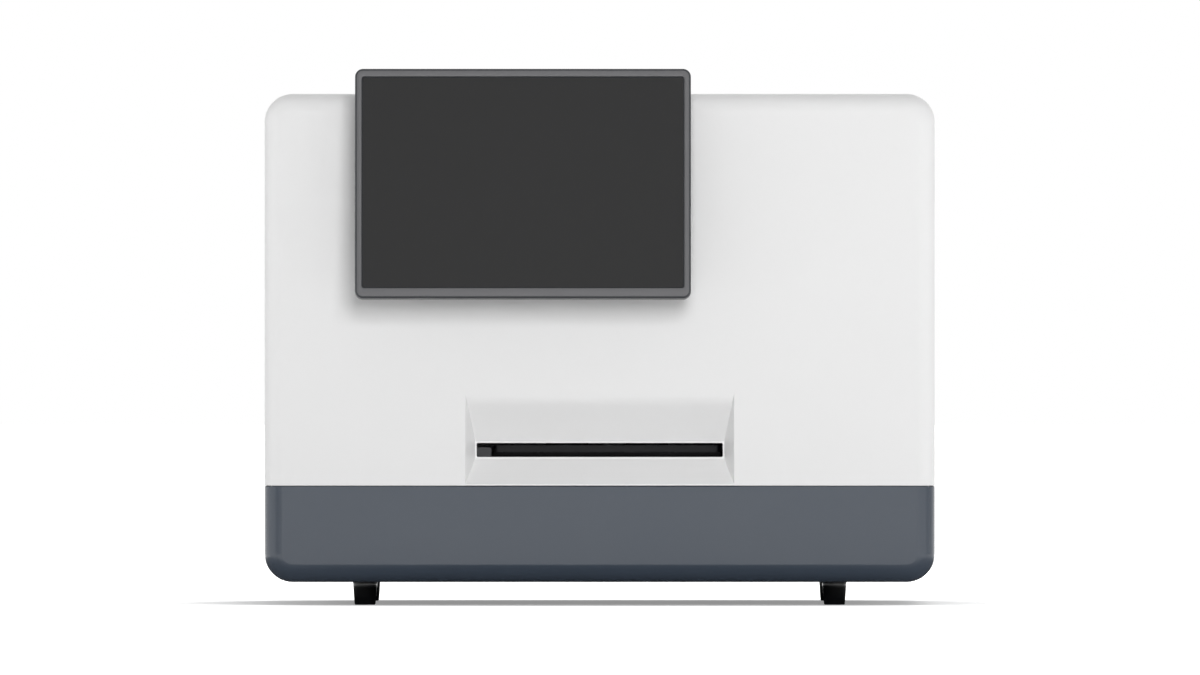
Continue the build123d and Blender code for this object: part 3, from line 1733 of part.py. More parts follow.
def rocker_pivot(radius, overrun=0.0):
    """The rocker's cross pin, or with its play the bore that it turns in."""
    reach = rocker_width / 2 + rocker_gap + inlet_wall / 2 + overrun
    ends = [(rocker_x + side * reach, rocker_axis_y, inlet_z) for side in (-1, 1)]
    return rod(radius, *ends)


def make_power_rocker():
    """The rocker of the power switch, at rest in its OFF position."""
    half = rocker_height / 2
    rise = half * math.tan(math.radians(rocker_angle))
    crown = rocker_axis_y + rocker_crown
    belly = rocker_axis_y - rocker_depth / 2
    side = Polyline(
        (crown, inlet_z),
        (crown + rise, inlet_z + half),
        (rocker_axis_y - rocker_edge, inlet_z + half),
        (belly, inlet_z + rocker_depth / 2),
        (belly, inlet_z - rocker_depth / 2),
        (rocker_axis_y - rocker_edge, inlet_z - half),
        (crown + rise, inlet_z - half),
        close=True,
    )
    seat = Plane(origin=(rocker_x - rocker_width / 2, 0, 0), x_dir=(0, 1, 0), z_dir=(1, 0, 0))
    rocker = extrude(seat * make_face(side), rocker_width) + rocker_pivot(rocker_pin_radius)
    return rocker.rotate(Axis((rocker_x, rocker_axis_y, inlet_z), (1, 0, 0)), rocker_angle)


def make_power_supply():
    x = about(supply_x, supply_width)
    y = about(supply_y, supply_depth)
    top = supply_low + supply_height
    case = block(x, y, (supply_low, top))
    case = fillet(case.edges().filter_by(Axis.X).sort_by(Axis.Z)[-2:], supply_corner)
    for i in range(supply_slots):
        slot_x = supply_x + (i - (supply_slots - 1) / 2) * vent_pitch
        slot_y = about(supply_y, supply_depth - 2 * supply_foot_inset)
        case = case - block(about(slot_x, vent_width), slot_y, (top - 2, top + 1))
    terminals = block(
        (x[1] - 1, x[1] + terminal_reach),
        about(supply_y, supply_depth - 2 * terminal_margin),
        (supply_low + terminal_lift, supply_low + terminal_height),
    )
    return case + terminals


def make_main_board():
    """The control board with its chips, heat sink, connectors and capacitors."""
    board_y = (board_front, board_rear)
    board = block(about(board_x, board_width), board_y, (board_low, board_high))
    sink_y_span = about(board_front + sink_y, sink_size)
    middle = board_x + sink_x
    sink = block(about(middle, sink_size), sink_y_span, (board_high - 0.5, board_high + sink_base))
    board = board + sink
    for i in range(sink_fin_count):
        x = middle + (i - (sink_fin_count - 1) / 2) * sink_fin_pitch
        fin_z = (board_high + sink_base - 1, board_high + sink_height)
        board = board + block(about(x, sink_fin_width), sink_y_span, fin_z)
    plug_y = supply_y - board_front
    parts = [
        (processor_x, processor_y, processor_size, processor_size, processor_height),
        (memory_x, memory_y, memory_size, memory_size, memory_height),
        (header_x, header_y, header_length, header_width, header_height),
        (-board_plug_x, plug_y, board_plug_width, board_plug_length, board_plug_height),
    ]
    for x, y, width, depth, height in parts:
        part_z = (board_high - 0.5, board_high + height)
        board = board + block(about(board_x + x, width), about(board_front + y, depth), part_z)
    for i in range(capacitor_count):
        at = (board_x + capacitor_x, board_front + capacitor_y + i * capacitor_pitch)
        top = board_high + capacitor_height
        board = board + rod(capacitor_radius, (*at, board_high - 0.5), (*at, top))
    return board


def make_io_ports():
    """The network socket and the stacked pair of USB sockets at the board's back edge."""
    back = body_depth - 1
    ethernet_z = (board_high, board_high + ethernet_height)
    ethernet = block(about(ethernet_x, ethernet_width), (back - ethernet_depth, back), ethernet_z)
    mouth_z = (ethernet_z[0] + ethernet_floor, ethernet_z[1] - ethernet_ceiling)
    mouth_y = (back - ethernet_mouth_depth, back + 1)
    ethernet = ethernet - block(about(ethernet_x, ethernet_mouth_width), mouth_y, mouth_z)
    usb_z = (board_high, board_high + usb_height)
    usb = block(about(usb_x, usb_width), (back - usb_depth, back), usb_z)
    for i in range(2):
        low = board_high + usb_floor + i * usb_height / 2
        cavity_y = (back - usb_mouth_depth, back + 1)
        cavity = block(about(usb_x, usb_mouth_width), cavity_y, (low, low + usb_mouth_height))
        tongue_z = (low + usb_tongue_lift, low + usb_tongue_lift + usb_tongue_height)
        tongue_y = (back - usb_mouth_depth - 1, back - 2)
        usb = usb - (cavity - block(about(usb_x, usb_tongue_width), tongue_y, tongue_z))
    return group([ethernet, usb])


def make_internal_harness():
    """The mains lead from the inlet to the supply, and the low-voltage lead to the board."""
    supply_back = supply_y + supply_depth / 2
    mains = rod(harness_radius, (socket_x, supply_back, inlet_z), (socket_x, socket_rear, inlet_z))
    lead_z = board_high + board_plug_height / 2
    terminal_x = supply_x + supply_width / 2 + terminal_reach
    plug_x = board_x - board_plug_x - board_plug_width / 2
    lead = rod(harness_radius, (terminal_x, supply_y, lead_z), (plug_x, supply_y, lead_z))
    return group([mains, lead])


# ---------------------------------------------------------------- the sub-parts
makers = {
    "base_shell": make_base_shell,
    "front_fascia": make_front_fascia,
    "hood": make_hood,
    "rear_panel": make_rear_panel,
    "chassis_plate": make_chassis_plate,
    "feet": make_feet,
    "foot_studs": make_foot_studs,
    "slot_baffle": make_slot_baffle,
    "tray_guide": make_tray_guide,
    "display_bracket": make_display_bracket,
    "hinge_pins": make_hinge_pins,
    "housing_screws": make_housing_screws,
    "cable_grommet": make_cable_grommet,
    "display_bezel": make_display_bezel,
    "display_glass": make_display_glass,
    "lcd_panel": make_lcd_panel,
    "display_board": make_display_board,
    "display_back_cover": make_display_back_cover,
    "hinge_plate": make_hinge_plate,
    "hinge_plate_screws": make_hinge_plate_screws,
    "rail_pedestals": make_rail_pedestals,
    "tray_rails": make_tray_rails,
    "tray_blocks": make_tray_blocks,
    "tray_nut": make_tray_nut,
    "tray_carrier": make_tray_carrier,
    "tray_motor": make_tray_motor,
    "tray_lead_screw": make_tray_screw,
    "slide_tray": make_slide_tray,
    "glass_slides": make_glass_slides,
    "slide_springs": make_slide_springs,
    "gantry_posts": make_gantry_posts,
    "gantry_beam": make_gantry_beam,
    "cross_rails": make_cross_rails,
    "cross_blocks": make_cross_blocks,
    "cross_nut": make_cross_nut,
    "cross_motor": make_cross_motor,
    "cross_lead_screw": make_cross_screw,
    "motor_brackets": make_motor_brackets,
    "screw_end_bearings": make_screw_end_bearings,
    "optics_plate": make_optics_plate,
    "upper_arm": make_upper_arm,
    "lower_arm": make_lower_arm,
    "lamp_module": make_lamp_module,
    "condenser": make_condenser,
    "focus_base": make_focus_base,
    "focus_motor": make_focus_motor,
    "focus_lead_screw": make_focus_screw,
    "focus_carriage": make_focus_carriage,
    "objective": make_objective,
    "tube_barrel": make_tube_barrel,
    "camera": make_camera,
    "power_supply": make_power_supply,
    "main_board": make_main_board,
    "io_ports": make_io_ports,
    "power_inlet": make_power_inlet,
    "power_rocker": make_power_rocker,
    "fan_frame": make_fan_frame,
    "fan_rotor": make_fan_rotor,
    "internal_harness": make_internal_harness,
}

os.makedirs("parts", exist_ok=True)
for name, maker in makers.items():
    placed = Pos(0, front_y, 0) * maker()
    export_step(placed, f"parts/{name}.step")
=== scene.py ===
"""Looks of a five-slide digital slide scanner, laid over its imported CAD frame.

Everything is in metres in the frame's own axes: +X right as seen from the front, +Y to the
back, +Z up, the bench at Z 0. Sizes in the property groups are shown in the units of the
scene; inside the functions a millimetre is the constant MM.
"""

import json
import math

import bmesh
import bpy
import numpy as np
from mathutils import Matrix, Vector


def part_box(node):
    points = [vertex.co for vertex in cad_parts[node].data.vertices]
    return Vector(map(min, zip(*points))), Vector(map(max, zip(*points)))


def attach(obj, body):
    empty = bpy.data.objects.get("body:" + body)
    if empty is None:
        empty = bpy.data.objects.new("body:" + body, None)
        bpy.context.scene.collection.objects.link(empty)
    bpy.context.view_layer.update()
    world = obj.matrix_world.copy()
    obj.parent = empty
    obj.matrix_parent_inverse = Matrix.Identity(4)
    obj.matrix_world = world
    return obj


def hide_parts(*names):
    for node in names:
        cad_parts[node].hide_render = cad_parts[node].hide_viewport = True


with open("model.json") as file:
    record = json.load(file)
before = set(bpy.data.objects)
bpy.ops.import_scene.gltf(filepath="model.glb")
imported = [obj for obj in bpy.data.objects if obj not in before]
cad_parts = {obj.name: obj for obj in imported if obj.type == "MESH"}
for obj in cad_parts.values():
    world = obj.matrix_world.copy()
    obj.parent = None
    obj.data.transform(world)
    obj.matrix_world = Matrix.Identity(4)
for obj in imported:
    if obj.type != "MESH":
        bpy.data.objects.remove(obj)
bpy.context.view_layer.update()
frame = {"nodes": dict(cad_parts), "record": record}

bl_info = {
    "name": "Digital slide scanner",
    "version": (1, 0, 0),
    "blender": (4, 5, 0),
    "location": "3D View > Sidebar > Scanner",
    "description": "Dresses the slide scanner's frame with its finishes and fine pieces",
    "category": "Object",
}

MM = 0.001
WELD = 1e-6  # metres within which points of neighbouring patches are one

# Places and sizes of the frame's own parts where new pieces meet them, in millimetres
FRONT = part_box("front_fascia")[0].y / MM
HALF_WIDTH = 245.0
COVER_LOW, COVER_HIGH = 87.6, 374.0
COVER_DEPTH, COVER_WALL, COVER_CORNER, EDGE_ROUND = 62.0, 4.0, 20.5, 13.0
RECESS_HALF, RECESS_LOW, RECESS_HIGH, RECESS_DEPTH = 98.25, 88.8, 155.3, 22.0
THROAT_HALF, THROAT_LOW, THROAT_HIGH = 91.2, 107.3, 119.9
SLOT_SIDES, SLOT_LEVELS, SLOT_CORNER, SLOT_DEPTH = (-90, 90), (108.5, 118.7), 1, 3
TUB_BACK = (-94.2, 94.2), (104.3, 122.9)  # outside of the recess's walls: sides and levels
TUB_FRONT = (-100.1, 100.1), (88.7, 152.6)
LINTEL_BEND = 0.3  # share of the recess over which its lintel bends away from the face
HINGE = (FRONT - 10, 335.0)
DISPLAY_LEAN = 5.0  # degrees
DISPLAY_FRONT = FRONT - 40
DISPLAY_EDGES, DISPLAY_CORNER = (-178.5, 66.5, 221.6, 389.6), 5.8
WINDOW_EDGES, WINDOW_CORNER = (-173.7, 61.7, 228.9, 384.0), 2.0
PANEL_HEAD, PANEL_SHANK = (3.0, 1.8), (1.5, 6.0)  # radius and length
HINGE_HEAD, BRACKET_SHANK, PLATE_SHANK = (3.6, 2.2), (2.0, 8.0), (2.0, 9.9)
PLATE_SCREWS_X, PLATE_SCREWS_Z, PLATE_SEAT = (-122, 10), (321, 349), FRONT - 17
THREAD_STARTS, PLAIN_END = 4, 10

# The studio: each black flag's two edges as bearings from straight in front, in degrees
FLAGS = ((-46, -13), (62, 114))
FLAG_SOFTNESS = 5
# Each softbox's bearing and elevation in degrees, distance and side in metres, and exposure
SOFTBOXES = (
    ("key_softbox", 5, 14, 3.0, 1.0, "key"),
    ("right_softbox", 95, 10, 2.5, 1.5, "flank"),
    ("left_softbox", -95, 10, 2.5, 1.5, "flank"),
    ("rear_softbox", 170, 25, 3.0, 1.5, "back"),
)
BENCH_HALF = 40.0
SHADOW, SHADOW_OVAL = 0.72, (0.34, 0.27)  # its depth, and its half sizes in metres


# ------------------------------------------------------------------ colours and properties
def linear(code):
    """An sRGB hex colour as linear red, green and blue."""
    levels = np.array([int(code[i : i + 2], 16) for i in (1, 3, 5)]) / 255
    return tuple(np.where(levels <= 0.04045, levels / 12.92, ((levels + 0.055) / 1.055) ** 2.4))


def colour(name, code, description):
    return bpy.props.FloatVectorProperty(
        name=name,
        description=description,
        default=linear(code),
        size=3,
        min=0,
        max=1,
        subtype="COLOR",
    )


def length(name, millimetres, description):
    return bpy.props.FloatProperty(
        name=name,
        description=description,
        default=millimetres * MM,
        min=0,
        unit="LENGTH",
        precision=5,
    )


def share(name, value, description):
    return bpy.props.FloatProperty(
        name=name, description=description, default=value, min=0, subtype="FACTOR"
    )


class ScannerColours(bpy.types.PropertyGroup):
    cover: colour("Covers", "#ECECEC", "White enamel of the front cover and the hood")
    base: colour("Base", "#39424E", "Slate enamel of the base")
    back: colour("Back panel", "#C9CBCC", "Powder coat of the back panel")
    bezel: colour("Bezel", "#646466", "Grey moulding round the display")
    glass: colour("Display glass", "#050506", "Black behind the switched-off display's glass")
    slot: colour("Slot", "#0E0F11", "Moulding that lines the tray slot")
    guide: colour("Tray guide", "#2C2D2F", "Moulding at the left end of the slot")
    rubber: colour("Rubber", "#0F1012", "Feet and grommet")
    anodised: colour("Anodised parts", "#1D1E20", "Black anodised aluminium of tray and optics")


class ScannerSizes(bpy.types.PropertyGroup):
    peel: length("Enamel ripple", 1.6, "Width of one ripple in the enamelled covers")
    moulding: length("Moulded grain", 0.35, "Width of one grain in the moulded plastics")
    edge: length("Pressed edge", 0.35, "Width of the small round on the cover's creases")
    # The rim's dark colour is painted shade along the bezel's outer edge, not a separate moulding's
    # colour
    rim: length("Display rim", 1.0, "Width of the dark sloping rim round the bezel")
    recess_arm: length("Cross recess, arm", 0.7, "Width of one arm of a screw's cross recess")
    thread: length("Thread pitch", 2.0, "From crest to crest of the trapezoidal lead screws")
    label: length("Slide label", 20.0, "Length of the frosted end of a slide")


class StudioSettings(bpy.types.PropertyGroup):
    lens: bpy.props.FloatProperty(
        name="Lens", description="Focal length of the camera", default=800, min=50, unit="CAMERA"
    )
    distance: length("Camera distance", 19489, "From the camera to the front cover")
    aim_x: length("Aim, across", 0.2, "Where the camera points, from the scanner's middle")
    aim_z: length("Aim, up", 195.9, "Height at which the camera points")
    key: share("Key light", 0.5, "Exposure that the front light gives the front cover")
    flank: share("Side lights", 0.24, "Exposure that each side light gives its side of the hood")
    back: share("Rear light", 0.5, "Exposure that the rear light gives the back panel")
    ambient: share("Ambient light", 0.31, "Strength of the even light from all round")
    bounce: share("Bench bounce", 0.95, "Share of the light on it that the bench throws back")


# ------------------------------------------------------------------ materials
def add_node(tree, kind, inputs=None, **settings):
    """Adds a node; inputs holds, for each socket, its value or the output that feeds it."""
    node = tree.nodes.new(kind)
    for name, value in settings.items():
        setattr(node, name, value)
    for socket, value in (inputs or {}).items():
        if isinstance(value, bpy.types.NodeSocket):
            tree.links.new(value, node.inputs[socket])
        else:
            node.inputs[socket].default_value = value
    return node


def new_material(name):
    """An empty material with a Principled shader: (material, its tree, its shader)."""
    material = bpy.data.materials.new(name)
    material.use_nodes = True
    tree = material.node_tree
    tree.nodes.clear()
    shader = add_node(tree, "ShaderNodeBsdfPrincipled")
    add_node(tree, "ShaderNodeOutputMaterial", {"Surface": shader.outputs["BSDF"]})
    return material, tree, shader


def rgba(tone, gain=1.0):
    return (*(min(1.0, channel * gain) for channel in tone), 1.0)


def object_space(tree, stretch=(1, 1, 1)):
    """The piece's own coordinates in metres, drawn out along the axes with a small stretch."""
    place = add_node(tree, "ShaderNodeTexCoord")
    return add_node(
        tree, "ShaderNodeMapping", {"Vector": place.outputs["Object"], "Scale": stretch}
    ).outputs["Vector"]


def coat(name, tone, drift, blotch, rough, rough_drift, grain, relief, **sockets):
    """A coated or moulded surface.

    tone is its mean colour and drift the share by which it varies over blotches; rough is its
    mean roughness; grain is the width of its relief and relief the height, all in metres.
    sockets are further settings of the shader, by name, with _ for a space.
    """
    material, tree, shader = new_material(name)
    where = object_space(tree)
    blotches = add_node(
        tree, "ShaderNodeTexNoise", {"Vector": where, "Scale": 1 / blotch, "Detail": 3.0}
    )
    tones = add_node(
        tree,
        "ShaderNodeMix",
        {0: blotches.outputs[0], 6: rgba(tone, 1 - drift), 7: rgba(tone, 1 + drift)},
        data_type="RGBA",
    )
    tree.links.new(tones.outputs[2], shader.inputs["Base Color"])
    fine = add_node(
        tree, "ShaderNodeTexNoise", {"Vector": where, "Scale": 1 / grain, "Detail": 2.0}
    )
    low, high = rough - rough_drift, rough + rough_drift
    gloss = add_node(
        tree, "ShaderNodeMapRange", {"Value": blotches.outputs[0], "To Min": low, "To Max": high}
    )
    tree.links.new(gloss.outputs[0], shader.inputs["Roughness"])
    bump = add_node(
        tree, "ShaderNodeBump", {"Height": fine.outputs[0], "Distance": relief, "Strength": 1.0}
    )
    tree.links.new(bump.outputs[0], shader.inputs["Normal"])
    for socket, value in sockets.items():
        shader.inputs[socket.replace("_", " ")].default_value = value
    return material


def metal(name, tone, rough, lay, line, relief, anisotropy=0.0, drift=0.06):
    """Bare metal with tool marks: lines of the given width that run along one axis.

    lay holds the three axes' stretch: 1 across the lines and a small share along them.
    """
    material, tree, shader = new_material(name)
    where = object_space(tree, lay)
    lines = add_node(
        tree, "ShaderNodeTexNoise", {"Vector": where, "Scale": 1 / line, "Detail": 4.0}
    )
    tones = add_node(
        tree,
        "ShaderNodeMix",
        {0: lines.outputs[0], 6: rgba(tone, 1 - drift), 7: rgba(tone, 1 + drift)},
        data_type="RGBA",
    )
    tree.links.new(tones.outputs[2], shader.inputs["Base Color"])
    gloss = add_node(
        tree,
        "ShaderNodeMapRange",
        {"Value": lines.outputs[0], "To Min": rough * 0.8, "To Max": rough * 1.2},
    )
    tree.links.new(gloss.outputs[0], shader.inputs["Roughness"])
    bump = add_node(
        tree, "ShaderNodeBump", {"Height": lines.outputs[0], "Distance": relief, "Strength": 0.6}
    )
    tree.links.new(bump.outputs[0], shader.inputs["Normal"])
    shader.inputs["Metallic"].default_value = 1.0
    shader.inputs["Anisotropic"].default_value = anisotropy
    return material


def cover_enamel(colours, sizes):
    # Baked white enamel on sheet steel: even satin with a hardly visible ripple.
    return coat("white_enamel", colours.cover, 0.006, 90 * MM, 0.42, 0.03, sizes.peel, 0.004 * MM)


def base_enamel(colours, sizes):
    # Slate enamel under a hard glossy lacquer: dark of itself, pale where it mirrors the studio.
    return coat(
        "slate_enamel", colours.base, 0.02, 70 * MM, 0.17, 0.03, sizes.peel, 0.004 * MM, IOR=1.6
    )


def back_powder_coat(colours, sizes):
    # Fine-textured powder coat on the steel sheet at the back.
    return coat("powder_coat", colours.back, 0.02, 60 * MM, 0.55, 0.04, 0.7 * MM, 0.03 * MM)


def milled_aluminium(colours, sizes):
    # Clear aluminium plate with the fine parallel marks of a face mill.
    return metal(
        "milled_aluminium", linear("#B9BBBD"), 0.32, (1, 0.04, 1), 0.8 * MM, 0.004 * MM, 0.4
    )


def foot_rubber(colours, sizes):
    # Hard moulded rubber, glossy as it comes from a polished mould.
    return coat("foot_rubber", colours.rubber, 0.15, 8 * MM, 0.12, 0.03, 0.5 * MM, 0.003 * MM)


def grommet_rubber(colours, sizes):
    # Soft moulded rubber, duller than the feet.
    return coat("grommet_rubber", colours.rubber, 0.2, 5 * MM, 0.55, 0.05, 0.3 * MM, 0.008 * MM)


def zinc_steel(colours, sizes):
    # Zinc-plated steel of screws and studs: bright, faintly blue, with small spangles.
    return metal("zinc_plated_steel", linear("#B4BAC0"), 0.28, (1, 1, 1), 1.2 * MM, 0.002 * MM)


def slot_moulding(colours, sizes):
    # Matt black ABS with a spark-eroded grain.
    return coat("slot_moulding", colours.slot, 0.1, 6 * MM, 0.6, 0.05, sizes.moulding, 0.01 * MM)


def guide_moulding(colours, sizes):
    # Dark grey acetal, slightly waxy.
    return coat("guide_acetal", colours.guide, 0.06, 5 * MM, 0.42, 0.05, sizes.moulding, 0.005 * MM)


def black_steel(colours, sizes):
    # Black powder-coated steel of the hinge.
    return coat(
        "black_powder_coat", linear("#191A1C"), 0.08, 8 * MM, 0.5, 0.05, 0.5 * MM, 0.02 * MM
    )


def ground_steel(colours, sizes):
    # Hardened and ground steel: rails, screws, springs.
    return metal("ground_steel", linear("#A9ABAE"), 0.2, (1, 0.03, 1), 0.4 * MM, 0.002 * MM, 0.3)


def polished_steel(colours, sizes):
    # Hinge pins: drawn and polished round bar.
    return metal("polished_steel", linear("#C4C6C9"), 0.12, (0.05, 1, 1), 0.5 * MM, 0.001 * MM)


def motor_steel(colours, sizes):
    # Stacked laminations of the stepper motors under a thin black lacquer.
    return coat(
        "motor_lacquer", linear("#2A2B2E"), 0.15, 3 * MM, 0.4, 0.08, 0.5 * MM, 0.02 * MM,
        Metallic=0.6,
    )


def tin_case(colours, sizes):
    # Galvanised sheet of the power supply, with broad spangles.
    return metal(
        "galvanised_sheet", linear("#AEB3B6"), 0.36, (1, 1, 1), 9 * MM, 0.002 * MM, drift=0.14
    )


def circuit_board(colours, sizes):
    """Green solder mask below, black component bodies above the board's face."""
    material, tree, shader = new_material("circuit_board")
    where = object_space(tree)
    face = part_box("main_board")[0].z + 1.65 * MM
    axes = add_node(tree, "ShaderNodeSeparateXYZ", {"Vector": where})
    above = add_node(
        tree, "ShaderNodeMath", {0: axes.outputs["Z"], 1: face}, operation="GREATER_THAN"
    )
    tracks = add_node(
        tree,
        "ShaderNodeTexBrick",
        {
            "Vector": where,
            "Scale": 1 / (6 * MM),
            "Mortar Size": 0.06,
            "Color1": rgba(linear("#12452B")),
            "Color2": rgba(linear("#165032")),
            "Mortar": rgba(linear("#2F7A4E")),
        },
    )
    tones = add_node(
        tree,
        "ShaderNodeMix",
        {0: above.outputs[0], 6: tracks.outputs["Color"], 7: rgba(linear("#1B1C1E"))},
        data_type="RGBA",
    )
    tree.links.new(tones.outputs[2], shader.inputs["Base Color"])
    shader.inputs["Roughness"].default_value = 0.35
    return material


def port_metal(colours, sizes):
    # Nickel-plated shells of the data sockets.
    return metal("nickel_plate", linear("#85878A"), 0.22, (1, 1, 1), 2 * MM, 0.002 * MM)


def inlet_plastic(colours, sizes):
    # Black glass-filled nylon of the power inlet and the fan.
    return coat(
        "black_nylon", linear("#1B1C1E"), 0.1, 6 * MM, 0.48, 0.05, sizes.moulding, 0.01 * MM
    )


def harness_sleeve(colours, sizes):
    # PVC-sleeved internal leads.
    return coat("pvc_sleeve", linear("#1E1F21"), 0.1, 10 * MM, 0.38, 0.05, 1.5 * MM, 0.01 * MM)


def bezel_plastic(colours, sizes):
    # Grey satin-painted ABS round the display.
    return coat(
        "bezel_paint", colours.bezel, 0.015, 30 * MM, 0.38, 0.03, sizes.moulding, 0.002 * MM
    )


def display_glass(colours, sizes):
    # Etched anti-glare glass bonded to the switched-off panel: black under a soft sheen.
    return coat("etched_glass", colours.glass, 0.02, 50 * MM, 0.32, 0.02, 0.25 * MM, 0.001 * MM)


def panel_metal(colours, sizes):
    # Folded tinplate frame of the display panel.
    return metal("panel_frame", linear("#9EA1A4"), 0.3, (1, 1, 0.05), 0.8 * MM, 0.002 * MM)


def black_anodised(colours, sizes):
    # Bead-blasted, black-anodised aluminium: a dull sheen with a fine even grain.
    return coat(
        "black_anodised", colours.anodised, 0.06, 12 * MM, 0.42, 0.04, 0.2 * MM, 0.006 * MM,
        Metallic=0.5,
    )


def nut_bronze(colours, sizes):
    # Turned tin bronze.
    return metal("turned_bronze", linear("#B08A4A"), 0.25, (1, 0.05, 1), 0.5 * MM, 0.003 * MM)


def slide_glass(colours, sizes):
    """Cleared soda-lime glass of the microscope slides, faintly green at the edges."""
    material, tree, shader = new_material("slide_glass")
    where = object_space(tree)
    smears = add_node(
        tree, "ShaderNodeTexNoise", {"Vector": where, "Scale": 1 / (12 * MM), "Detail": 3.0}
    )
    gloss = add_node(
        tree, "ShaderNodeMapRange", {"Value": smears.outputs[0], "To Min": 0.02, "To Max": 0.06}
    )
    tree.links.new(gloss.outputs[0], shader.inputs["Roughness"])
    shader.inputs["Base Color"].default_value = rgba(linear("#EEF6F1"))
    shader.inputs["Transmission Weight"].default_value = 1.0
    shader.inputs["IOR"].default_value = 1.52
    return material


def optics_black(colours, sizes):
    # Black-finished brass of lens mounts.
    return coat(
        "optics_black", linear("#141416"), 0.1, 10 * MM, 0.3, 0.05, 0.3 * MM, 0.003 * MM,
        Metallic=0.3,
    )


def camera_case(colours, sizes):
    # Die-cast camera body under hammered grey paint.
    return coat("camera_paint", linear("#3A3E45"), 0.08, 8 * MM, 0.4, 0.05, 0.8 * MM, 0.02 * MM)


def objective_brass(colours, sizes):
    # Satin chrome over turned brass.
    return metal("satin_chrome", linear("#B8B6B0"), 0.25, (1, 1, 0.05), 0.4 * MM, 0.002 * MM)


def rocker_plastic(colours, sizes):
    # Polished black polycarbonate rocker.
    return coat("rocker_plastic", linear("#141416"), 0.1, 5 * MM, 0.25, 0.04, 0.8 * MM, 0.002 * MM)


def rim_shade_and_gasket_plastic():
    # Dark grey satin-grained ABS. On the display's sloping outer rim it is painted shade: darker
    # than the bezel's face, it stands for the shade along that edge. On the gasket round the glass
    # it is the gasket's own colour.
    return coat("rim_shade_and_gasket_plastic", linear("#37393C"), 0.05, 20 * MM, 0.4, 0.04, 0.35 * MM, 0.004 * MM)


def frosted_end():
    # Ground and printed end of a slide that is written on: chalky white, a little yellow.
    return coat("frosted_end", linear("#E9E6DC"), 0.03, 6 * MM, 0.7, 0.05, 0.15 * MM, 0.01 * MM)


def stained_tissue():
    """Paraffin section stained with two dyes: pink ground, violet nuclei about 0.3 mm apart.

    Real nuclei are a hundredth of a millimetre wide; these are drawn coarse enough to show.
    """
    material, tree, shader = new_material("stained_tissue")
    where = object_space(tree)
    cells = add_node(tree, "ShaderNodeTexVoronoi", {"Vector": where, "Scale": 1 / (0.3 * MM)})
    bands = add_node(
        tree, "ShaderNodeTexNoise", {"Vector": where, "Scale": 1 / (2.5 * MM), "Detail": 4.0}
    )
    ground = add_node(
        tree,
        "ShaderNodeMix",
        {0: bands.outputs[0], 6: rgba(linear("#E79ABB")), 7: rgba(linear("#C85E96"))},
        data_type="RGBA",
    )
    dots = add_node(
        tree,
        "ShaderNodeMapRange",
        {
            "Value": cells.outputs["Distance"],
            "From Min": 0.25,
            "From Max": 0.45,
            "To Min": 0.8,
            "To Max": 0.0,
        },
    )
    tones = add_node(
        tree,
        "ShaderNodeMix",
        {0: dots.outputs[0], 6: ground.outputs[2], 7: rgba(linear("#5B3A8C"))},
        data_type="RGBA",
    )
    tree.links.new(tones.outputs[2], shader.inputs["Base Color"])
    shader.inputs["Roughness"].default_value = 0.5
    return material


FINISHES = {
    "base_paint": base_enamel,
    "cover_paint": cover_enamel,
    "back_paint": back_powder_coat,
    "machined_plate": milled_aluminium,
    "foot_rubber": foot_rubber,
    "zinc_steel": zinc_steel,
    "dark_moulding": slot_moulding,
    "guide_moulding": guide_moulding,
    "black_steel": black_steel,
    "polished_pin": polished_steel,
    "grommet_rubber": grommet_rubber,
    "rail_steel": ground_steel,
    "motor_steel": motor_steel,
    "tin_case": tin_case,
    "board_laminate": circuit_board,
    "port_metal": port_metal,
    "inlet_plastic": inlet_plastic,
    "harness_sleeve": harness_sleeve,
    "bezel_plastic": bezel_plastic,
    "screen_glass": display_glass,
    "panel_metal": panel_metal,
    "black_anodised": black_anodised,
    "nut_bronze": nut_bronze,
    "slide_glass": slide_glass,
    "optics_black": optics_black,
    "camera_case": camera_case,
    "objective_brass": objective_brass,
    "rocker_plastic": rocker_plastic,
}


def finish_of(slot):
    """The material that stands for a slot of the record, made when it is first asked for."""
    scene = bpy.context.scene
    key = f"finish_{slot}"
    if key not in bpy.data.materials:
        material = FINISHES[slot](scene.scanner_colours, scene.scanner_sizes)
        material.name = key
    return bpy.data.materials[key]


def node_slots():
    """The record's material slot of every CAD node."""
    return {part["node"]: part["material_slot"] for part in frame["record"]["subparts"]}


# ------------------------------------------------------------------ surfaces, in millimetres
def patch(points, closed=False):
    """A surface through a grid of points, as (points, faces).

    Each face joins a point to the next one of its row and to the two beside them in the next
    row; closed also joins the last column to the first.
    """
    points = np.asarray(points, float)
    rows, columns = points.shape[:2]
    across = np.arange(columns if closed else columns - 1)
    start = np.arange(rows - 1)[:, None] * columns
    near, far = start + across, start + (across + 1) % columns
    faces = np.stack([near, far, far + columns, near + columns], axis=-1)
    return points.reshape(-1, 3), faces.reshape(-1, 4)


def tube(loops):
    """A closed ring: loops of points, each joined to the next and the last to the first."""
    return patch([*loops, loops[0]], closed=True)


def outline(sides, levels, radii, depth, steps=12):
    """An upright rectangle with quarter-circle corners, as a loop of points.

    Each point is its corner's centre + radius * (cos a, sin a), with a over a quarter turn at
    each corner, anticlockwise as seen from the front, from the lower right corner. sides are its
    left and right, levels its low and high edge, radii those of the lower and upper corners.
    """
    (left, right), (low, high), (lower, upper) = sides, levels, radii
    radius = np.array([[lower], [upper], [upper], [lower]])
    centre_x = np.array([[right], [right], [left], [left]]) + radius * [[-1], [-1], [1], [1]]
    centre_z = np.array([[low], [high], [high], [low]]) + radius * [[1], [-1], [-1], [1]]
    turn = np.radians([[-90], [0], [90], [180]] + np.linspace(0, 90, steps + 1))
    x, z = centre_x + radius * np.cos(turn), centre_z + radius * np.sin(turn)
    return np.stack([x, np.full_like(x, depth), z], axis=-1).reshape(-1, 3)


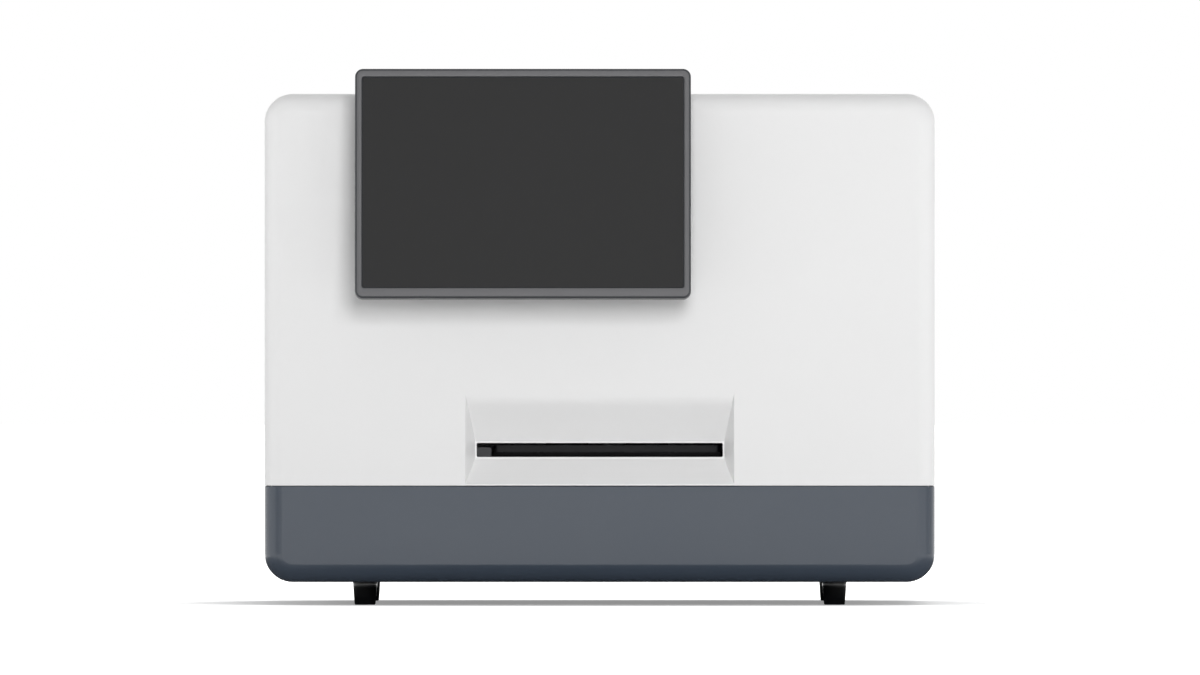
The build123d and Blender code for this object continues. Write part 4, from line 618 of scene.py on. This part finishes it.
def turned(profile, centre, steps=48):
    """A profile of (radius, height) turned about an upright axis: centre + r (cos a, sin a)."""
    radius, height = np.array(profile, float).T[:, :, None]
    turn = np.linspace(0, 2 * math.pi, steps, endpoint=False)
    x, y = centre[0] + radius * np.cos(turn), centre[1] + radius * np.sin(turn)
    return patch(np.stack([x, y, height + 0 * turn], axis=-1), closed=True)


def axes_along(axis):
    """Three unit axes, as rows: two across the given axis, then that axis."""
    out = Vector(axis).normalized()
    side = out.orthogonal().normalized()
    return np.array([side, out.cross(side), out])


def solids_of(name):
    """The (low, high) corners of each separate solid of a CAD node, in millimetres.

    Each point takes the lowest mark of those it shares an edge with, until no mark changes.
    """
    mesh = frame["nodes"][name].data
    points = np.empty(3 * len(mesh.vertices))
    mesh.vertices.foreach_get("co", points)
    points, same = np.unique(points.reshape(-1, 3).round(7), axis=0, return_inverse=True)
    edges = np.empty(2 * len(mesh.edges), int)
    mesh.edges.foreach_get("vertices", edges)
    edges = same.reshape(-1)[edges.reshape(-1, 2)]
    mark, last = np.arange(len(points)), None
    while last is None or (mark != last).any():
        last = mark.copy()
        lower = mark[edges].min(axis=1)
        np.minimum.at(mark, edges[:, 0], lower)
        np.minimum.at(mark, edges[:, 1], lower)
    groups = [points[mark == value] / MM for value in np.unique(mark)]
    return [(group.min(axis=0), group.max(axis=0)) for group in groups]


def make_piece(name, patches, slot, body, replaces=(), finish=None, crease=30, edge=0.0):
    """One object from patches in millimetres: welded, faces outwards, smooth but for creases.

    crease is the angle of a crease in degrees, and edge the width in metres of a small round
    along the creases. finish is the material, or else the slot's own.
    """
    starts = np.cumsum([0] + [len(points) for points, _ in patches[:-1]])
    points = np.concatenate([points for points, _ in patches]) * MM
    faces = np.concatenate([faces + start for (_, faces), start in zip(patches, starts)])
    mesh = bpy.data.meshes.new(name)
    mesh.from_pydata(points.tolist(), [], faces.tolist())
    work = bmesh.new()
    work.from_mesh(mesh)
    bmesh.ops.remove_doubles(work, verts=work.verts, dist=WELD)
    bmesh.ops.dissolve_degenerate(work, edges=work.edges, dist=WELD)
    bmesh.ops.recalc_face_normals(work, faces=work.faces)
    work.to_mesh(mesh)
    work.free()
    mesh.shade_smooth()
    mesh.set_sharp_from_angle(angle=math.radians(crease))
    mesh.materials.append(finish or finish_of(slot))
    piece = bpy.data.objects.new(name, mesh)
    bpy.context.scene.collection.objects.link(piece)
    if edge:
        bevel = piece.modifiers.new("pressed_edge", "BEVEL")
        bevel.width, bevel.segments = edge, 2
        bevel.limit_method, bevel.angle_limit = "ANGLE", math.radians(crease)
        bevel.harden_normals = True
    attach(piece, body)
    if replaces:
        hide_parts(*replaces)
    return piece


# ------------------------------------------------------------------ operators
def cover_skin(offset):
    """The cover's sides and rounded front, offset inwards: loops from its rear rim to its face.

    Along the round, inset = offset + r (1 - cos a) and depth = offset + r (1 - sin a).
    """
    radius = EDGE_ROUND - offset
    turn = np.radians(np.linspace(0, 90, 13))
    insets = np.append(offset, offset + radius * (1 - np.cos(turn)))
    depths = np.append(COVER_DEPTH, offset + radius * (1 - np.sin(turn)))
    return [
        outline(
            (-HALF_WIDTH + inset, HALF_WIDTH - inset),
            (COVER_LOW, COVER_HIGH - inset),
            (0, COVER_CORNER - inset),
            FRONT + depth,
        )
        for inset, depth in zip(insets, depths)
    ]


def recess_rings():
    """The recess from its mouth to its throat.

    The share u runs from 0 to 1. Width, sill and lintel move in straight lines with u, and so
    does the depth at the sill; at the lintel the depth is a parabola that leaves the face
    without a crease, then a straight line.
    """
    rings = []
    for u in np.linspace(0, 1, 17):
        half = RECESS_HALF + u * (THROAT_HALF - RECESS_HALF)
        low = RECESS_LOW + u * (THROAT_LOW - RECESS_LOW)
        high = RECESS_HIGH + u * (THROAT_HIGH - RECESS_HIGH)
        ring = outline((-half, half), (low, high), (0, 0), 0)
        bend = LINTEL_BEND
        upper = (u**2 / (2 * bend) if u < bend else u - bend / 2) / (1 - bend / 2)
        rise = (ring[:, 2] - low) / (high - low)
        ring[:, 1] = FRONT + RECESS_DEPTH * (u * (1 - rise) + upper * rise)
        rings.append(ring)
    return rings


class SCANNER_OT_front_cover(bpy.types.Operator):
    """Make the front cover with the sloped recess round its slot"""

    bl_idname = "scanner.front_cover"
    bl_label = "Front cover"

    def execute(self, context):
        outer, inner = cover_skin(0), cover_skin(COVER_WALL)
        rings = recess_rings()
        throat = FRONT + RECESS_DEPTH
        slot = [
            outline(SLOT_SIDES, SLOT_LEVELS, (SLOT_CORNER, SLOT_CORNER), depth)
            for depth in (throat, throat + SLOT_DEPTH)
        ]
        tub_back = outline(*TUB_BACK, (0, 0), throat + SLOT_DEPTH)
        tub_front = outline(*TUB_FRONT, (0, 0), FRONT + COVER_WALL)
        rear_rim = patch([outer[0], inner[0]])
        ends = [
            patch([(skin[end], lining[end]) for skin, lining in zip(outer, inner)])
            for end in (0, -1)
        ]
        sill = patch([(outer[-1][0], outer[-1][-1]), (inner[-1][0], inner[-1][-1])])
        through = patch([outer[-1], *rings, *slot, tub_back, tub_front, inner[-1]], closed=True)
        make_piece(
            "front_cover",
            [patch(outer), patch(inner), rear_rim, *ends, sill, through],
            "cover_paint",
            "housing",
            ["front_fascia"],
            edge=context.scene.scanner_sizes.edge,
        )
        return {"FINISHED"}


def on_display(points):
    """Points of the upright display, leant back about the hinge's axis to the angle of rest."""
    across, depth, height = np.moveaxis(points, -1, 0)
    depth, height = depth - HINGE[0], height - HINGE[1]
    lean = math.radians(DISPLAY_LEAN)
    back = HINGE[0] + depth * math.cos(lean) + height * math.sin(lean)
    up = HINGE[1] + height * math.cos(lean) - depth * math.sin(lean)
    return np.stack([across, back, up], axis=-1)


def display_loop(edges, corner, inset, depth):
    """An outline on the display, drawn in by inset, at a depth behind the display's front.

    edges are its left, right, low and high edge and corner its radius when inset is 0.
    """
    left, right, low, high = edges
    radius = max(0.5, corner - inset)
    loop = outline(
        (left + inset, right - inset),
        (low + inset, high - inset),
        (radius, radius),
        DISPLAY_FRONT + depth,
    )
    return on_display(loop)


def rim_loop(inset, depth):
    return display_loop(DISPLAY_EDGES, DISPLAY_CORNER, inset, depth)


def window_loop(inset, depth):
    return display_loop(WINDOW_EDGES, WINDOW_CORNER, inset, depth)


class SCANNER_OT_display_bezel(bpy.types.Operator):
    """Make the display's bezel, its sloping rim coloured dark as painted shade of the bezel's outer
    edge, and the gasket round the glass
    """

    bl_idname = "scanner.display_bezel"
    bl_label = "Display bezel"

    def execute(self, context):
        # Stations across each moulding, as (inset, depth)
        rim = context.scene.scanner_sizes.rim / MM
        land = rim + 0.4
        slope = [(0, 9.0), (0, 1.4), (0.12, 1.1), (rim - 0.1, 0.42), (rim, 0.4), (land, 0.4)]
        loops = [rim_loop(*station) for station in (*slope, (land, 9.0))]
        # Darker material than the bezel's face: painted shade along the bezel's outer edge
        make_piece(
            "display_rim", [tube(loops)], "bezel_plastic", "display", finish=rim_shade_and_gasket_plastic()
        )
        outside = [(land, 2.0), (land, 0.3), (land + 0.15, 0.06), (land + 0.35, 0.0)]
        inside = [(-0.45, 0.0), (-0.15, 0.1), (0, 0.4), (0, 2.0)]
        loops = [rim_loop(*station) for station in outside]
        loops += [window_loop(*station) for station in inside]
        make_piece(
            "display_bezel_face", [tube(loops)], "bezel_plastic", "display", ["display_bezel"]
        )
        seal = [(0, 1.98), (0, 1.5), (0.35, 1.35), (0.8, 1.98)]
        loops = [window_loop(*station) for station in seal]
        make_piece(
            "display_gasket", [tube(loops)], "bezel_plastic", "display", finish=rim_shade_and_gasket_plastic()
        )
        return {"FINISHED"}


class SCANNER_OT_feet(bpy.types.Operator):
    """Make the four tapered rubber feet with their hollow soles"""

    bl_idname = "scanner.feet"
    bl_label = "Feet"

    def execute(self, context):
        sole = [(0, 0.7), (5.2, 0.7), (5.6, 0.5), (5.8, 0.1), (6.1, 0), (6.9, 0), (7.4, 0.2)]
        side = [(7.68, 0.8), (8.2, 6), (8.62, 12.4), (9.05, 16.4), (8.95, 16.9), (8.6, 17)]
        stud_hole = [(2.5, 17), (2.5, 9), (0, 9)]
        places = [(low + high) / 2 for low, high in solids_of("feet")]
        feet = [turned(sole + side + stud_hole, place) for place in places]
        make_piece("rubber_feet", feet, "foot_rubber", "housing", ["feet"])
        return {"FINISHED"}


def screw(seat, axis, head, shank, arm, steps=40):
    """A pan-head screw: its head's top is h (1 - 0.3 (r / R)^2) less a cross-shaped recess.

    The recess is 0.6 h deep where the smaller of |x| and |y| is under half an arm's width and
    the larger under half its reach, with sloping sides. seat is the middle of the head's
    underside, axis points out of the head, head and shank hold (radius, length).
    """
    radius, height = head
    reach, slope = 1.1 * radius, 0.12 * radius
    turn = np.linspace(0, 2 * math.pi, steps, endpoint=False)
    ring = np.linspace(0, radius, 15)[:, None]
    x, y = ring * np.cos(turn), ring * np.sin(turn)
    near, far = np.minimum(abs(x), abs(y)), np.maximum(abs(x), abs(y))
    across = np.clip((arm / 2 - near) / slope + 0.5, 0, 1)
    along = np.clip((reach / 2 - far) / slope + 0.5, 0, 1)
    top = height * (1 - 0.3 * (ring / radius) ** 2) - 0.6 * height * across * along
    thin, end = shank[0], -shank[1]
    lower = [(radius, 0.05), (radius - 0.05, 0), (thin, 0), (thin, end), (0, end)]
    radii, levels = np.array(lower).T[:, :, None]
    crown = np.stack([x, y, top], axis=-1)
    stem = np.stack([radii * np.cos(turn), radii * np.sin(turn), levels + 0 * turn], axis=-1)
    local = np.concatenate([crown, stem])
    return patch(np.asarray(seat) + local @ axes_along(axis), closed=True)


class SCANNER_OT_screws(bpy.types.Operator):
    """Make the screws of the back panel, the fan, the display's bracket and its hinge plate"""

    bl_idname = "scanner.screws"
    bl_label = "Screws"

    def execute(self, context):
        arm = context.scene.scanner_sizes.recess_arm / MM
        housing = []
        for low, high in solids_of("housing_screws"):
            x, _, z = (low + high) / 2
            if low[1] > 0:
                seat = (x, high[1] - PANEL_HEAD[1], z)
                housing.append(screw(seat, (0, 1, 0), PANEL_HEAD, PANEL_SHANK, arm))
            else:
                seat = (x, low[1] + HINGE_HEAD[1], z)
                housing.append(screw(seat, (0, -1, 0), HINGE_HEAD, BRACKET_SHANK, arm))
        make_piece(
            "cross_screws", housing, "zinc_steel", "housing", ["housing_screws"], crease=40
        )
        lean = math.radians(DISPLAY_LEAN)
        way = (0, math.cos(lean), -math.sin(lean))
        plate = [
            screw(on_display(np.array((x, PLATE_SEAT, z))), way, HINGE_HEAD, PLATE_SHANK, arm)
            for x in PLATE_SCREWS_X
            for z in PLATE_SCREWS_Z
        ]
        make_piece(
            "hinge_screws", plate, "zinc_steel", "display", ["hinge_plate_screws"], crease=40
        )
        return {"FINISHED"}


def lead_screw(start, axis, span, radius, pitch, starts):
    """A trapezoidal thread: r = R - 0.45 p t, with t a clipped triangle wave of s / p - n a / 2 pi.

    s runs along the axis from the start point and a round it; p is the pitch from crest to
    crest and n the number of starts. The ends are plain and closed.
    """
    along = np.linspace(0, span, int(span / pitch * 6))[:, None]
    turn = np.linspace(0, 2 * math.pi, 20, endpoint=False)
    wave = (along / pitch - starts * turn / (2 * math.pi)) % 1
    groove = np.clip(2.2 * (1 - abs(2 * wave - 1)) - 0.6, 0, 1)
    plain = (along < PLAIN_END) | (along > span - PLAIN_END)
    r = np.where(plain, radius - 0.25 * pitch, radius - 0.45 * pitch * groove)
    r[[0, -1]] = 0
    r[[1, -2]] = radius - 0.25 * pitch
    along[1], along[-2] = along[0], along[-1]
    local = np.stack([r * np.cos(turn), r * np.sin(turn), along + 0 * turn], axis=-1)
    return patch(np.asarray(start) + local @ axes_along(axis), closed=True)


class SCANNER_OT_lead_screws(bpy.types.Operator):
    """Cut the threads of the tray's, the gantry's and the focus stage's lead screws"""

    bl_idname = "scanner.lead_screws"
    bl_label = "Lead screws"

    def execute(self, context):
        pitch = context.scene.scanner_sizes.thread / MM
        for node, body, way, fineness in (
            ("tray_lead_screw", "tray_screw", 1, 1.0),
            ("cross_lead_screw", "cross_screw", 0, 1.0),
            ("focus_lead_screw", "focus_screw", 2, 0.5),
        ):
            (low, high), *_ = solids_of(node)
            axis = np.eye(3)[way]
            start = (low + high) / 2 * (1 - axis) + low * axis
            radius = (high - low)[way - 1] / 2
            span = (high - low)[way]
            thread = lead_screw(start, axis, span, radius, pitch * fineness, THREAD_STARTS)
            make_piece(f"{node}_thread", [thread], "rail_steel", body, [node], crease=50)
        return {"FINISHED"}


def plate(sides, rows, levels, radius, steps=4):
    """A thin level plate with rounded corners: its outline at both levels, closed by its middle."""
    rim = outline(sides, rows, (radius, radius), 0, steps)[:, [0, 2, 1]]
    middle = rim * 0 + [(sides[0] + sides[1]) / 2, (rows[0] + rows[1]) / 2, 0]
    stack = zip([middle, rim, rim, middle], np.repeat(levels, 2))
    return patch([loop + [0, 0, level] for loop, level in stack], closed=True)


def tissue(centre, half, level, phase):
    """A section of tissue: its half sizes times 1 + 0.14 sin(3 a + p) + 0.08 sin(5 a + 2 p)."""
    turn = np.linspace(0, 2 * math.pi, 72, endpoint=False)
    edge = 1 + 0.14 * np.sin(3 * turn + phase) + 0.08 * np.sin(5 * turn + 2 * phase)
    spread = np.array([[0, 0.35, 0.7, 0.97, 1, 0.97, 0.7, 0.35, 0]]).T
    thick = np.array([[0.04, 0.04, 0.04, 0.035, 0.02, 0.005, 0, 0, 0]]).T
    x = centre[0] + half[0] * spread * edge * np.cos(turn)
    y = centre[1] + half[1] * spread * edge * np.sin(turn)
    return patch(np.stack([x, y, level + thick + 0 * turn], axis=-1), closed=True)


class SCANNER_OT_specimens(bpy.types.Operator):
    """Lay a frosted label, a stained section and a cover slip on each glass slide"""

    bl_idname = "scanner.specimens"
    bl_label = "Specimens"

    def execute(self, context):
        label = context.scene.scanner_sizes.label / MM
        labels, sections, slips = [], [], []
        for index, (low, high) in enumerate(solids_of("glass_slides")):
            (left, front, _), (right, _, top) = low, high
            sides, rows = (left + 0.4, right - 0.4), (front + 0.4, front + label)
            labels.append(plate(sides, rows, (top + 0.01, top + 0.06), 0.6))
            x, y = (left + right) / 2, front + label + 27
            half = (6.0 + index % 3, 8.5 - index % 2)
            sections.append(tissue((x, y), half, top + 0.01, 1.7 * index))
            slips.append(plate((x - 11, x + 11), (y - 20, y + 20), (top + 0.08, top + 0.24), 0.3))
        make_piece("slide_labels", labels, "slide_glass", "tray", finish=frosted_end())
        make_piece("tissue_sections", sections, "slide_glass", "tray", finish=stained_tissue())
        make_piece("cover_slips", slips, "slide_glass", "tray")
        return {"FINISHED"}


class SCANNER_OT_finish_nodes(bpy.types.Operator):
    """Give every CAD node the finish of its material slot"""

    bl_idname = "scanner.finish_nodes"
    bl_label = "Finish the CAD nodes"

    def execute(self, context):
        slots = node_slots()
        for name, node in frame["nodes"].items():
            node.data.materials.clear()
            node.data.materials.append(finish_of(slots[name]))
        return {"FINISHED"}


def bench_material(bounce, shade, footprint):
    """White bench top: it keeps the scanner's shadow near its feet, and is pure white further out.

    Rays from the camera and through glass see white where nothing shades it. Gloss sees that
    white only well away from the scanner, and a dark bench close to it. Other rays see a bench
    that throws back the share bounce. footprint holds the half sizes of the ellipse that keeps
    the shadow, and shade how dark a full shadow is there.
    """
    gloss_near, gloss_far, gloss_dark = 0.2, 0.85, 0.1
    material = bpy.data.materials.new("bench_top")
    material.use_nodes = True
    tree = material.node_tree
    tree.nodes.clear()
    path = add_node(tree, "ShaderNodeLightPath")
    place = add_node(tree, "ShaderNodeTexCoord")
    away = add_node(tree, "ShaderNodeVectorMath", {0: place.outputs["Object"]}, operation="LENGTH")
    far = add_node(
        tree,
        "ShaderNodeMapRange",
        {"Value": away.outputs["Value"], "From Min": gloss_near, "From Max": gloss_far},
        interpolation_type="SMOOTHSTEP",
    )
    gloss = add_node(
        tree,
        "ShaderNodeMath",
        {0: path.outputs["Is Glossy Ray"], 1: far.outputs[0]},
        operation="MULTIPLY",
    )
    straight = add_node(
        tree,
        "ShaderNodeMath",
        {0: path.outputs["Is Camera Ray"], 1: path.outputs["Is Transmission Ray"]},
        operation="MAXIMUM",
    )
    seen = add_node(
        tree, "ShaderNodeMath", {0: straight.outputs[0], 1: gloss.outputs[0]}, operation="MAXIMUM"
    )
    scale = (1 / footprint[0], 1 / footprint[1], 0)
    oval = add_node(tree, "ShaderNodeMapping", {"Vector": place.outputs["Object"], "Scale": scale})
    reach = add_node(tree, "ShaderNodeVectorMath", {0: oval.outputs["Vector"]}, operation="LENGTH")
    glow = add_node(
        tree,
        "ShaderNodeMapRange",
        {
            "Value": reach.outputs["Value"],
            "From Min": 0.8,
            "From Max": 1.25,
            "To Min": 1 - shade,
            "To Max": 1.0,
        },
        interpolation_type="SMOOTHSTEP",
    )
    light = add_node(tree, "ShaderNodeEmission", {"Strength": glow.outputs[0]})
    white = add_node(tree, "ShaderNodeBsdfDiffuse", {"Color": (1, 1, 1, 1)})
    shown = add_node(tree, "ShaderNodeAddShader", {0: light.outputs[0], 1: white.outputs[0]})
    tone = add_node(
        tree,
        "ShaderNodeMix",
        {0: path.outputs["Is Glossy Ray"], 6: rgba([bounce] * 3), 7: rgba([gloss_dark] * 3)},
        data_type="RGBA",
    )
    dull = add_node(tree, "ShaderNodeBsdfDiffuse", {"Color": tone.outputs[2]})
    mixed = add_node(
        tree, "ShaderNodeMixShader", {0: seen.outputs[0], 1: dull.outputs[0], 2: shown.outputs[0]}
    )
    add_node(tree, "ShaderNodeOutputMaterial", {"Surface": mixed.outputs[0]})
    return material


def studio_world(ambient, flags):
    """Even light of the given strength, seen as plain white by camera and glass.

    Gloss sees the same white broken by black flags, upright screens beside the camera. flags
    holds, for each, its two edges as bearings from straight in front, in degrees, anticlockwise.
    """
    world = bpy.data.worlds.new("studio_world")
    world.use_nodes = True
    tree = world.node_tree
    tree.nodes.clear()
    path = add_node(tree, "ShaderNodeLightPath")
    place = add_node(tree, "ShaderNodeTexCoord")
    axes = add_node(tree, "ShaderNodeSeparateXYZ", {"Vector": place.outputs["Generated"]})
    front = add_node(tree, "ShaderNodeMath", {0: axes.outputs["Y"], 1: -1.0}, operation="MULTIPLY")
    bearing = add_node(
        tree, "ShaderNodeMath", {0: axes.outputs["X"], 1: front.outputs[0]}, operation="ARCTAN2"
    )
    turn = add_node(
        tree,
        "ShaderNodeMapRange",
        {"Value": bearing.outputs[0], "From Min": -math.pi, "From Max": math.pi},
    )
    screens = add_node(tree, "ShaderNodeValToRGB", {"Fac": turn.outputs[0]})
    ramp = screens.color_ramp
    ramp.elements[0].color = ramp.elements[1].color = (1, 1, 1, 1)
    soft = FLAG_SOFTNESS
    for start, end in flags:
        for edge, level in ((start - soft, 1), (start + soft, 0), (end - soft, 0), (end + soft, 1)):
            ramp.elements.new((edge + 180) / 360).color = (level, level, level, 1)
    straight = add_node(
        tree,
        "ShaderNodeMath",
        {0: path.outputs["Is Camera Ray"], 1: path.outputs["Is Transmission Ray"]},
        operation="MAXIMUM",
    )
    gloss = add_node(
        tree,
        "ShaderNodeMath",
        {0: path.outputs["Is Glossy Ray"], 1: screens.outputs["Color"]},
        operation="MULTIPLY",
    )
    seen = add_node(
        tree, "ShaderNodeMath", {0: straight.outputs[0], 1: gloss.outputs[0]}, operation="MAXIMUM"
    )
    either = add_node(
        tree,
        "ShaderNodeMath",
        {0: straight.outputs[0], 1: path.outputs["Is Glossy Ray"]},
        operation="MAXIMUM",
    )
    lit = add_node(
        tree, "ShaderNodeMapRange", {"Value": either.outputs[0], "To Min": ambient, "To Max": 0.0}
    )
    strength = add_node(
        tree, "ShaderNodeMath", {0: seen.outputs[0], 1: lit.outputs[0]}, operation="ADD"
    )
    light = add_node(
        tree, "ShaderNodeBackground", {"Color": (1, 1, 1, 1), "Strength": strength.outputs[0]}
    )
    add_node(tree, "ShaderNodeOutputWorld", {"Surface": light.outputs[0]})
    return world


def softbox(name, target, turn, rise, distance, size, exposure):
    """A square area light that gives the target this share of full exposure.

    turn is its bearing from straight in front of the scanner, anticlockwise from above, and
    rise its elevation, both in degrees; gloss doesn't show it.
    """
    bearing, lift = math.radians(turn), math.radians(rise)
    way = Vector(
        (math.sin(bearing) * math.cos(lift), -math.cos(bearing) * math.cos(lift), math.sin(lift))
    )
    data = bpy.data.lights.new(name, "AREA")
    data.shape = "SQUARE"
    data.size = size
    data.energy = exposure * math.pi**2 * distance**2
    light = bpy.data.objects.new(name, data)
    light.location = Vector(target) + way * distance
    light.rotation_mode = "QUATERNION"
    light.rotation_quaternion = (-way).to_track_quat("-Z", "Y")
    light.visible_glossy = False
    bpy.context.scene.collection.objects.link(light)


class SCANNER_OT_stage(bpy.types.Operator):
    """Put up the bench top, the lights and the camera"""

    bl_idname = "scanner.stage"
    bl_label = "Stage"

    def execute(self, context):
        studio = context.scene.scanner_studio
        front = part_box("front_fascia")[0].y
        half = BENCH_HALF
        corners = [(-half, -half, 0), (half, -half, 0), (half, half, 0), (-half, half, 0)]
        mesh = bpy.data.meshes.new("bench_top")
        mesh.from_pydata(corners, [], [(0, 1, 2, 3)])
        mesh.materials.append(bench_material(studio.bounce, SHADOW, SHADOW_OVAL))
        bench = bpy.data.objects.new("bench_top", mesh)
        context.scene.collection.objects.link(bench)
        context.scene.world = studio_world(studio.ambient, FLAGS)
        middle = (0, front, 0.2)
        for name, turn, rise, distance, size, exposure in SOFTBOXES:
            softbox(name, middle, turn, rise, distance, size, getattr(studio, exposure))

        data = bpy.data.cameras.new("photo_camera")
        data.lens = studio.lens
        data.sensor_width = 36
        data.clip_start, data.clip_end = 1.0, 100.0
        camera = bpy.data.objects.new("photo_camera", data)
        camera.location = (studio.aim_x, front - studio.distance, studio.aim_z)
        camera.rotation_euler = (math.pi / 2, 0, 0)
        context.scene.collection.objects.link(camera)
        context.scene.camera = camera
        context.scene.view_settings.view_transform = "Standard"
        return {"FINISHED"}


class SCANNER_PT_sidebar(bpy.types.Panel):
    """The scanner's colours, sizes and pieces"""

    bl_label = "Slide scanner"
    bl_idname = "SCANNER_PT_sidebar"
    bl_space_type = "VIEW_3D"
    bl_region_type = "UI"
    bl_category = "Scanner"

    def draw(self, context):
        for group in (
            context.scene.scanner_colours,
            context.scene.scanner_sizes,
            context.scene.scanner_studio,
        ):
            box = self.layout.box()
            for name in type(group).__annotations__:
                box.prop(group, name)
        for operator in OPERATORS:
            self.layout.operator(operator.bl_idname)


GROUPS = {
    "scanner_colours": ScannerColours,
    "scanner_sizes": ScannerSizes,
    "scanner_studio": StudioSettings,
}
OPERATORS = (
    SCANNER_OT_finish_nodes,
    SCANNER_OT_front_cover,
    SCANNER_OT_display_bezel,
    SCANNER_OT_feet,
    SCANNER_OT_screws,
    SCANNER_OT_lead_screws,
    SCANNER_OT_specimens,
    SCANNER_OT_stage,
)


def register():
    for name, group in GROUPS.items():
        bpy.utils.register_class(group)
        setattr(bpy.types.Scene, name, bpy.props.PointerProperty(type=group))
    for operator in OPERATORS:
        bpy.utils.register_class(operator)
    bpy.utils.register_class(SCANNER_PT_sidebar)


def unregister():
    bpy.utils.unregister_class(SCANNER_PT_sidebar)
    for operator in reversed(OPERATORS):
        bpy.utils.unregister_class(operator)
    for name, group in GROUPS.items():
        delattr(bpy.types.Scene, name)
        bpy.utils.unregister_class(group)


def main():
    register()
    for operator in OPERATORS:
        family, name = operator.bl_idname.split(".")
        getattr(getattr(bpy.ops, family), name)()


if __name__ == "__main__":
    main()
